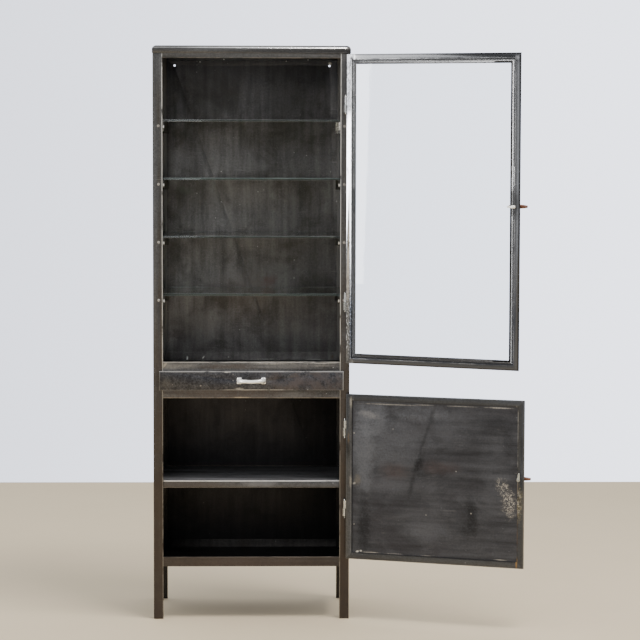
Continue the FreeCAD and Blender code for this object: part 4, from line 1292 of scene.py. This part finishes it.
def make_pull(metal):
    """A cast pull: square feet that flare into a round bar."""
    low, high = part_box("drawer_pull")
    face_y = high.y
    half = (high.x - low.x) / 2 - pull_foot_half_width
    z = (low.z + high.z) / 2
    work = bmesh.new()
    route = pull_route(half, face_y, z)
    total = len(route) - 1
    rings = []
    for index, place in enumerate(route):
        along = (route[min(index + 1, total)] - route[max(index - 1, 0)]).normalized()
        across = along.cross(Vector((0, 0, 1))).normalized()
        above = across.cross(along).normalized()
        flare = max(0, 1 - min(index, total - index) / (pull_bend_steps + 1))
        radius = pull_bar_radius + (pull_root_radius - pull_bar_radius) * flare ** 1.2
        tall = radius * (1 + 0.1 * flare)
        rings.append([
            work.verts.new(
                place + across * radius * math.cos(turn) + above * tall * math.sin(turn)
            )
            for turn in turns(24)
        ])
    ring_faces(work, rings)
    mesh = finish_mesh(work, "pull_bar", 60)
    work = bmesh.new()
    work.from_mesh(mesh)
    for side in (-1, 1):
        rings = []
        for depth, share in ((0, 1), (0.0018, 1), (0.0026, 0.93), (0.003, 0.8), (0.0036, 0.62)):
            ring = []
            for turn in turns(32):
                x, up = [
                    math.copysign(abs(part) ** foot_squareness, part)
                    for part in (math.cos(turn), math.sin(turn))
                ]
                x *= pull_foot_half_width * share
                up *= pull_foot_half_height * share
                ring.append(work.verts.new((side * half + x, face_y - depth, z + up)))
            rings.append(ring)
        ring_faces(work, rings)
    new_piece("drawer_pull_cast", finish_mesh(work, "pull", 50), (metal,), "drawer_pull")


# Glass shelves

def make_shelf_glass(node, surface, edges, shine):
    """A glass shelf with ground green edges and a painted highlight along their rounded corners.
    """
    work = bmesh.new()
    add_box(work, *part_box(node))
    for face in work.faces:
        face.material_index = 0 if abs(face.normal.z) > 0.5 else 1
    piece = new_piece(node + "_pane", finish_mesh(work, node), (surface, edges, shine), node)
    round_edges(piece, glass_edge_width, 2)


# Stage

def make_floor():
    """A plain pale floor under and around the cabinet."""
    work = bmesh.new()
    corners = ((-floor_reach, -floor_front), (floor_reach, -floor_front),
               (floor_reach, floor_back), (-floor_reach, floor_back))
    work.faces.new([work.verts.new((x, y, 0)) for x, y in corners])
    mesh = bpy.data.meshes.new("floor")
    work.to_mesh(mesh)
    work.free()
    floor = add_object("floor", mesh)
    material, place = new_material("pale_floor", Roughness=0.5)
    color = mix(noise(place, 3), (0.84, 0.685, 0.46), (0.9, 0.74, 0.515))
    fill(material.node_tree.nodes["Principled BSDF"], {"Base Color": color})
    mesh.materials.append(material)


def make_world():
    """A pale wall all round to look at, and a dimmer room to light the steel."""
    world = bpy.data.worlds.new("studio")
    bpy.context.scene.world = world
    world.use_nodes = True
    tree = world.node_tree
    path = add_node("ShaderNodeLightPath", "Is Camera Ray", {}, tree)
    straight = path.output("Diffuse Depth") + path.output("Glossy Depth") < 0.5
    seen = calculate("MAXIMUM", path, path.output("Is Transmission Ray") * straight)
    direction = add_node("ShaderNodeTexCoord", "Generated", {}, tree)
    depth = direction.y
    far = span(depth, 0.1, 0.7, 0, 0.9) * path.output("Is Glossy Ray")
    lit = (span(depth, -0.4, 0.6, 0.27, 0.85) + span(direction.z, -0.1, 0.9, 0, 0.5)) * (1 - far)
    room, wall = [
        add_node("ShaderNodeBackground", 0, {"Color": color, "Strength": strength})
        for color, strength in (
            ((0.93, 0.96, 1, 1), lit),
            ((0.86, 0.895, 1.02, 1), span(direction.x, -0.12, 0.15, 2.1, 3.1)),
        )
    ]
    mixed = add_node("ShaderNodeMixShader", 0, {0: seen, 1: room, 2: wall})
    fill(tree.nodes["World Output"], {"Surface": mixed})


def area_light(name, place, target, size, power, color=(1, 1, 1)):
    """A rectangular soft light that faces a target."""
    light = bpy.data.lights.new(name, "AREA")
    light.shape = "RECTANGLE"
    light.size, light.size_y = size
    light.energy = power
    light.color = color
    holder = bpy.data.objects.new(name, light)
    bpy.context.collection.objects.link(holder)
    holder.location = place
    aim = Vector(target) - Vector(place)
    holder.rotation_euler = aim.to_track_quat("-Z", "Y").to_euler()
    holder.visible_camera = False
    return holder


def light_only(light, name, words):
    """Let a light reach only the pieces whose names start with one of some words."""
    lit = bpy.data.collections.new(name)
    for piece in bpy.context.collection.objects:
        if piece.name.startswith(words):
            lit.objects.link(piece)
    light.light_linking.receiver_collection = lit


def make_camera():
    """The photograph's camera."""
    data = bpy.data.cameras.new("camera")
    data.sensor_width = sensor_width
    data.lens = focal_length
    data.clip_end = 100
    camera = bpy.data.objects.new("camera", data)
    bpy.context.collection.objects.link(camera)
    forward = Vector((
        math.sin(camera_turn) * math.cos(camera_dip),
        math.cos(camera_turn) * math.cos(camera_dip),
        -math.sin(camera_dip),
    ))
    level = Vector((math.cos(camera_turn), -math.sin(camera_turn), 0))
    above = level.cross(forward)
    side = level * math.cos(camera_roll) + above * math.sin(camera_roll)
    top = above * math.cos(camera_roll) - level * math.sin(camera_roll)
    turn = Matrix((side, top, -forward)).transposed().to_4x4()
    camera.matrix_world = Matrix.Translation(camera_place) @ turn
    bpy.context.scene.camera = camera


# Materials of the cabinet
frame_metal = steel(
    "frame_metal", (0.062, 0.061, 0.06), (0.152, 0.15, 0.147), (0.072, 0.067, 0.062), vertical,
    flecks=0.4, extra=post_wear,
)
rear_metal = steel(
    "rear_metal", (0.03, 0.028, 0.026), (0.07, 0.065, 0.06), (0.04, 0.032, 0.026), vertical,
    extra=rear_wear,
)
rail_metal = steel(
    "rail_metal", (0.062, 0.061, 0.061), (0.215, 0.214, 0.214), (0.1, 0.09, 0.083), crosswise,
    flecks=0.4, extra=rail_wear,
)
side_metal = steel(
    "side_metal", (0.05, 0.046, 0.043), (0.13, 0.12, 0.112), (0.06, 0.05, 0.042), lengthwise
)
sheet_metal = steel(
    "sheet_metal", (0.09, 0.084, 0.081), (0.213, 0.201, 0.196), (0.06, 0.053, 0.048),
    (38, 38, 3.5), blotch=11, mottle=0.3, extra=panel_marks,
)
floor_metal = steel(
    "floor_metal", (0.025, 0.025, 0.026), (0.06, 0.06, 0.061), (0.035, 0.033, 0.03), crosswise,
)
shelf_metal = steel(
    "shelf_metal", (0.1, 0.1, 0.103), (0.2, 0.2, 0.205), (0.11, 0.105, 0.1), crosswise,
    extra=shelf_marks,
)
lid_metal = steel(
    "lid_metal", (0.085, 0.083, 0.081), (0.225, 0.221, 0.216), (0.1, 0.09, 0.08),
    (2.2, 190, 190), (0.16, 0.28), extra=lid_marks,
)
drawer_metal = steel(
    "drawer_metal", (0.046, 0.048, 0.058), (0.13, 0.134, 0.148), (0.068, 0.066, 0.076),
    (60, 60, 60), relief=0.0009, flecks=0.6, mottle=0.8, extra=drawer_marks,
)
upper_rim_metal = steel(
    "upper_rim_metal", (0.8, 0.8, 0.81), (0.95, 0.95, 0.97), (0.8, 0.8, 0.8), None,
    (0.04, 0.09), "upper", 0.3, 0.95, 0.00006, extra=upper_rim_marks,
)
bead_metal = steel(
    "bead_metal", (0.7, 0.7, 0.71), (0.9, 0.9, 0.92), (0.6, 0.6, 0.6), None,
    (0.12, 0.2), "upper", 0.1, 0.95, 0.00002, mottle=0.1, extra=bead_marks,
)
lower_rim_metal = steel(
    "lower_rim_metal", (0.07, 0.073, 0.078), (0.16, 0.166, 0.176), (0.08, 0.081, 0.084),
    None, (0.3, 0.5), "lower", extra=lower_rim_marks,
)
lower_sheet_metal = steel(
    "lower_sheet_metal", (0.0355, 0.037, 0.0435), (0.089, 0.094, 0.11), (0.049, 0.047, 0.055),
    (3.2, 40, 55), (0.3, 0.5), "lower", 0.14, relief=0.0003, blotch=6, mottle=0.3,
    extra=sheet_marks,
)
bracket_metal = steel(
    "bracket_metal", (0.03, 0.029, 0.028), (0.07, 0.068, 0.064), (0.04, 0.035, 0.03), vertical,
    extra=bracket_marks,
)
edge_metal = worn_edge("edge_metal", (0.36, 0.34, 0.31))
drawer_edge_metal = worn_edge("drawer_edge_metal", (0.33, 0.335, 0.35))
rear_edge_metal = worn_edge("rear_edge_metal", (0.12, 0.11, 0.1))
upper_edge_metal = worn_edge("upper_edge_metal", (0.7, 0.7, 0.7), "upper")
lower_edge_metal = worn_edge("lower_edge_metal", (0.36, 0.35, 0.33), "lower")
hinge_metal = nickel(
    "hinge_metal", (0.92, 0.93, 0.93), (0.3, 0.29, 0.26), 0.12, 0.95, (0.12, 0.28)
)
low_hinge_metal = nickel(
    "low_hinge_metal", (0.7, 0.71, 0.69), (0.2, 0.19, 0.16), 0.2, 0.95, (0.14, 0.32)
)
latch_metal = nickel("latch_metal", (0.85, 0.84, 0.78), (0.4, 0.38, 0.3), 0.12)
low_latch_metal = nickel("low_latch_metal", (0.42, 0.43, 0.39), (0.2, 0.2, 0.16), 0.14)
pull_metal = nickel("pull_metal", (1, 0.99, 0.94), (0.5, 0.46, 0.38), 0.07, 0.45, (0.12, 0.26))
screw_metal = nickel(
    "screw_metal", (0.48, 0.46, 0.43), (0.2, 0.17, 0.14), 0.14, extra=screw_dullness
)
grip_wood = turned_wood("grip_wood", (0.09, 0.03, 0.015), (0.3, 0.12, 0.06), (40, 400, 400))
packing_wood = turned_wood(
    "packing_wood", (0.1, 0.086, 0.074), (0.17, 0.15, 0.13), (3, 90, 90)
)
pane_glass = clear_glass("pane_glass", (0.96, 0.98, 0.98), 0, 0.03)
shelf_glass = clear_glass("shelf_glass", (0.8, 0.9, 0.86), 0.01, 0.05)
rim_glass = glass_rim("rim_glass", (0.006, 0.014, 0.013), (0.02, 0.046, 0.042))
# Painted highlights for the rounded edges of the glass shelves; the grey one is dimmer.
shine_glass = glass_rim("shine_glass", (0.1, 0.14, 0.135), (0.3, 0.38, 0.37))
grey_shine_glass = glass_rim("grey_shine_glass", (0.1, 0.115, 0.115), (0.24, 0.26, 0.26))

# Pieces that keep their own shape, with rounded edges
for name in sorted(nodes):
    if name.startswith("rear_"):
        rear_surface = sheet_metal if name in ("rear_middle_rail", "rear_top_rail") else rear_metal
        dressed(name, rear_surface, rear_edge_metal, sheet_edge_width)
    elif name.endswith("_post"):
        dressed(name, frame_metal, frame_metal)
    elif name.startswith("front_") and name.endswith("_rail"):
        dressed(name, rail_metal, edge_metal)
    elif name.endswith("_rail"):
        dressed(name, side_metal, edge_metal)
    elif name.endswith("_side_panel") or name == "back_panel":
        dressed(name, sheet_metal, sheet_metal, sheet_edge_width)
    elif name in ("divider_sheet", "drawer_bay_floor", "bottom_floor"):
        dressed(name, floor_metal, edge_metal, sheet_edge_width)
    elif name.endswith("_side_glass"):
        dressed(name, pane_glass, rim_glass, sheet_edge_width)
dressed("lid", lid_metal, lid_metal, sheet_edge_width)
dressed("lid_packing", packing_wood, packing_wood)
dressed("metal_shelf", shelf_metal, edge_metal)
for name in ("shelf_ledges", "drawer_runners"):
    dressed(name, side_metal, side_metal, sheet_edge_width)
dressed("side_glass_strips", frame_metal, frame_metal, sheet_edge_width)
dressed("shelf_brackets", bracket_metal, bracket_metal, sheet_edge_width)
for name in ("bracket_screws", "bracket_nuts", "pull_screws", "hinge_pins"):
    dressed(name, screw_metal, screw_metal, screw_edge_width)
dressed("drawer_front", drawer_metal, drawer_edge_metal)
dressed("drawer_body", sheet_metal, sheet_metal, sheet_edge_width)

# Pieces with a shape of their own
door_rim("upper", upper_rim_metal, upper_edge_metal)
door_rim("lower", lower_rim_metal, lower_edge_metal)
make_bead(bead_metal)
make_door_glass(pane_glass, rim_glass)
make_door_sheet(lower_sheet_metal)
make_frame_hinges(low_hinge_metal)
make_door_hinges("upper", hinge_metal)
make_door_hinges("lower", low_hinge_metal)
make_latch("upper", latch_metal, grip_wood, 0)
make_latch("lower", low_latch_metal, grip_wood, 97)
make_pull(pull_metal)
for level in range(1, 5):
    # Alternate shelves get the dimmer painted highlight.
    shine = grey_shine_glass if level % 2 == 0 else shine_glass
    make_shelf_glass("glass_shelf_" + str(level), shelf_glass, rim_glass, shine)

make_floor()
make_world()
window = area_light("left_window", (-2.5, -1.62, 1.85), (0.27, -0.16, 1.4), (1.45, 2.2), 95)
light_only(window, "lit_by_window", ("upper_door", "upper_latch", "drawer_pull"))
nickel_light = area_light("nickel_light", (-1.6, -3.4, 2.6), (0.1, -0.2, 0.8), (1.2, 1.2), 60)
light_only(nickel_light, "bright_fittings", (
    "drawer_pull", "frame_hinge_barrels", "upper_hinge_barrels", "lower_hinge_barrels",
    "upper_latch_finger", "lower_latch_finger",
))
cool = (0.95, 0.97, 1)
area_light("lid_light", (1.4, -1.25, 4.5), (0.3, 0, 1.6), (2, 0.8), 150, (1, 0.965, 0.945))
area_light("ceiling", (-0.4, -1.2, 4.4), (0, -0.2, 0), (4, 3), 30, cool)
area_light("front_fill", (-2.2, -7, 2.2), (0, 0, 1.1), (4, 3), 60, cool)
make_camera()
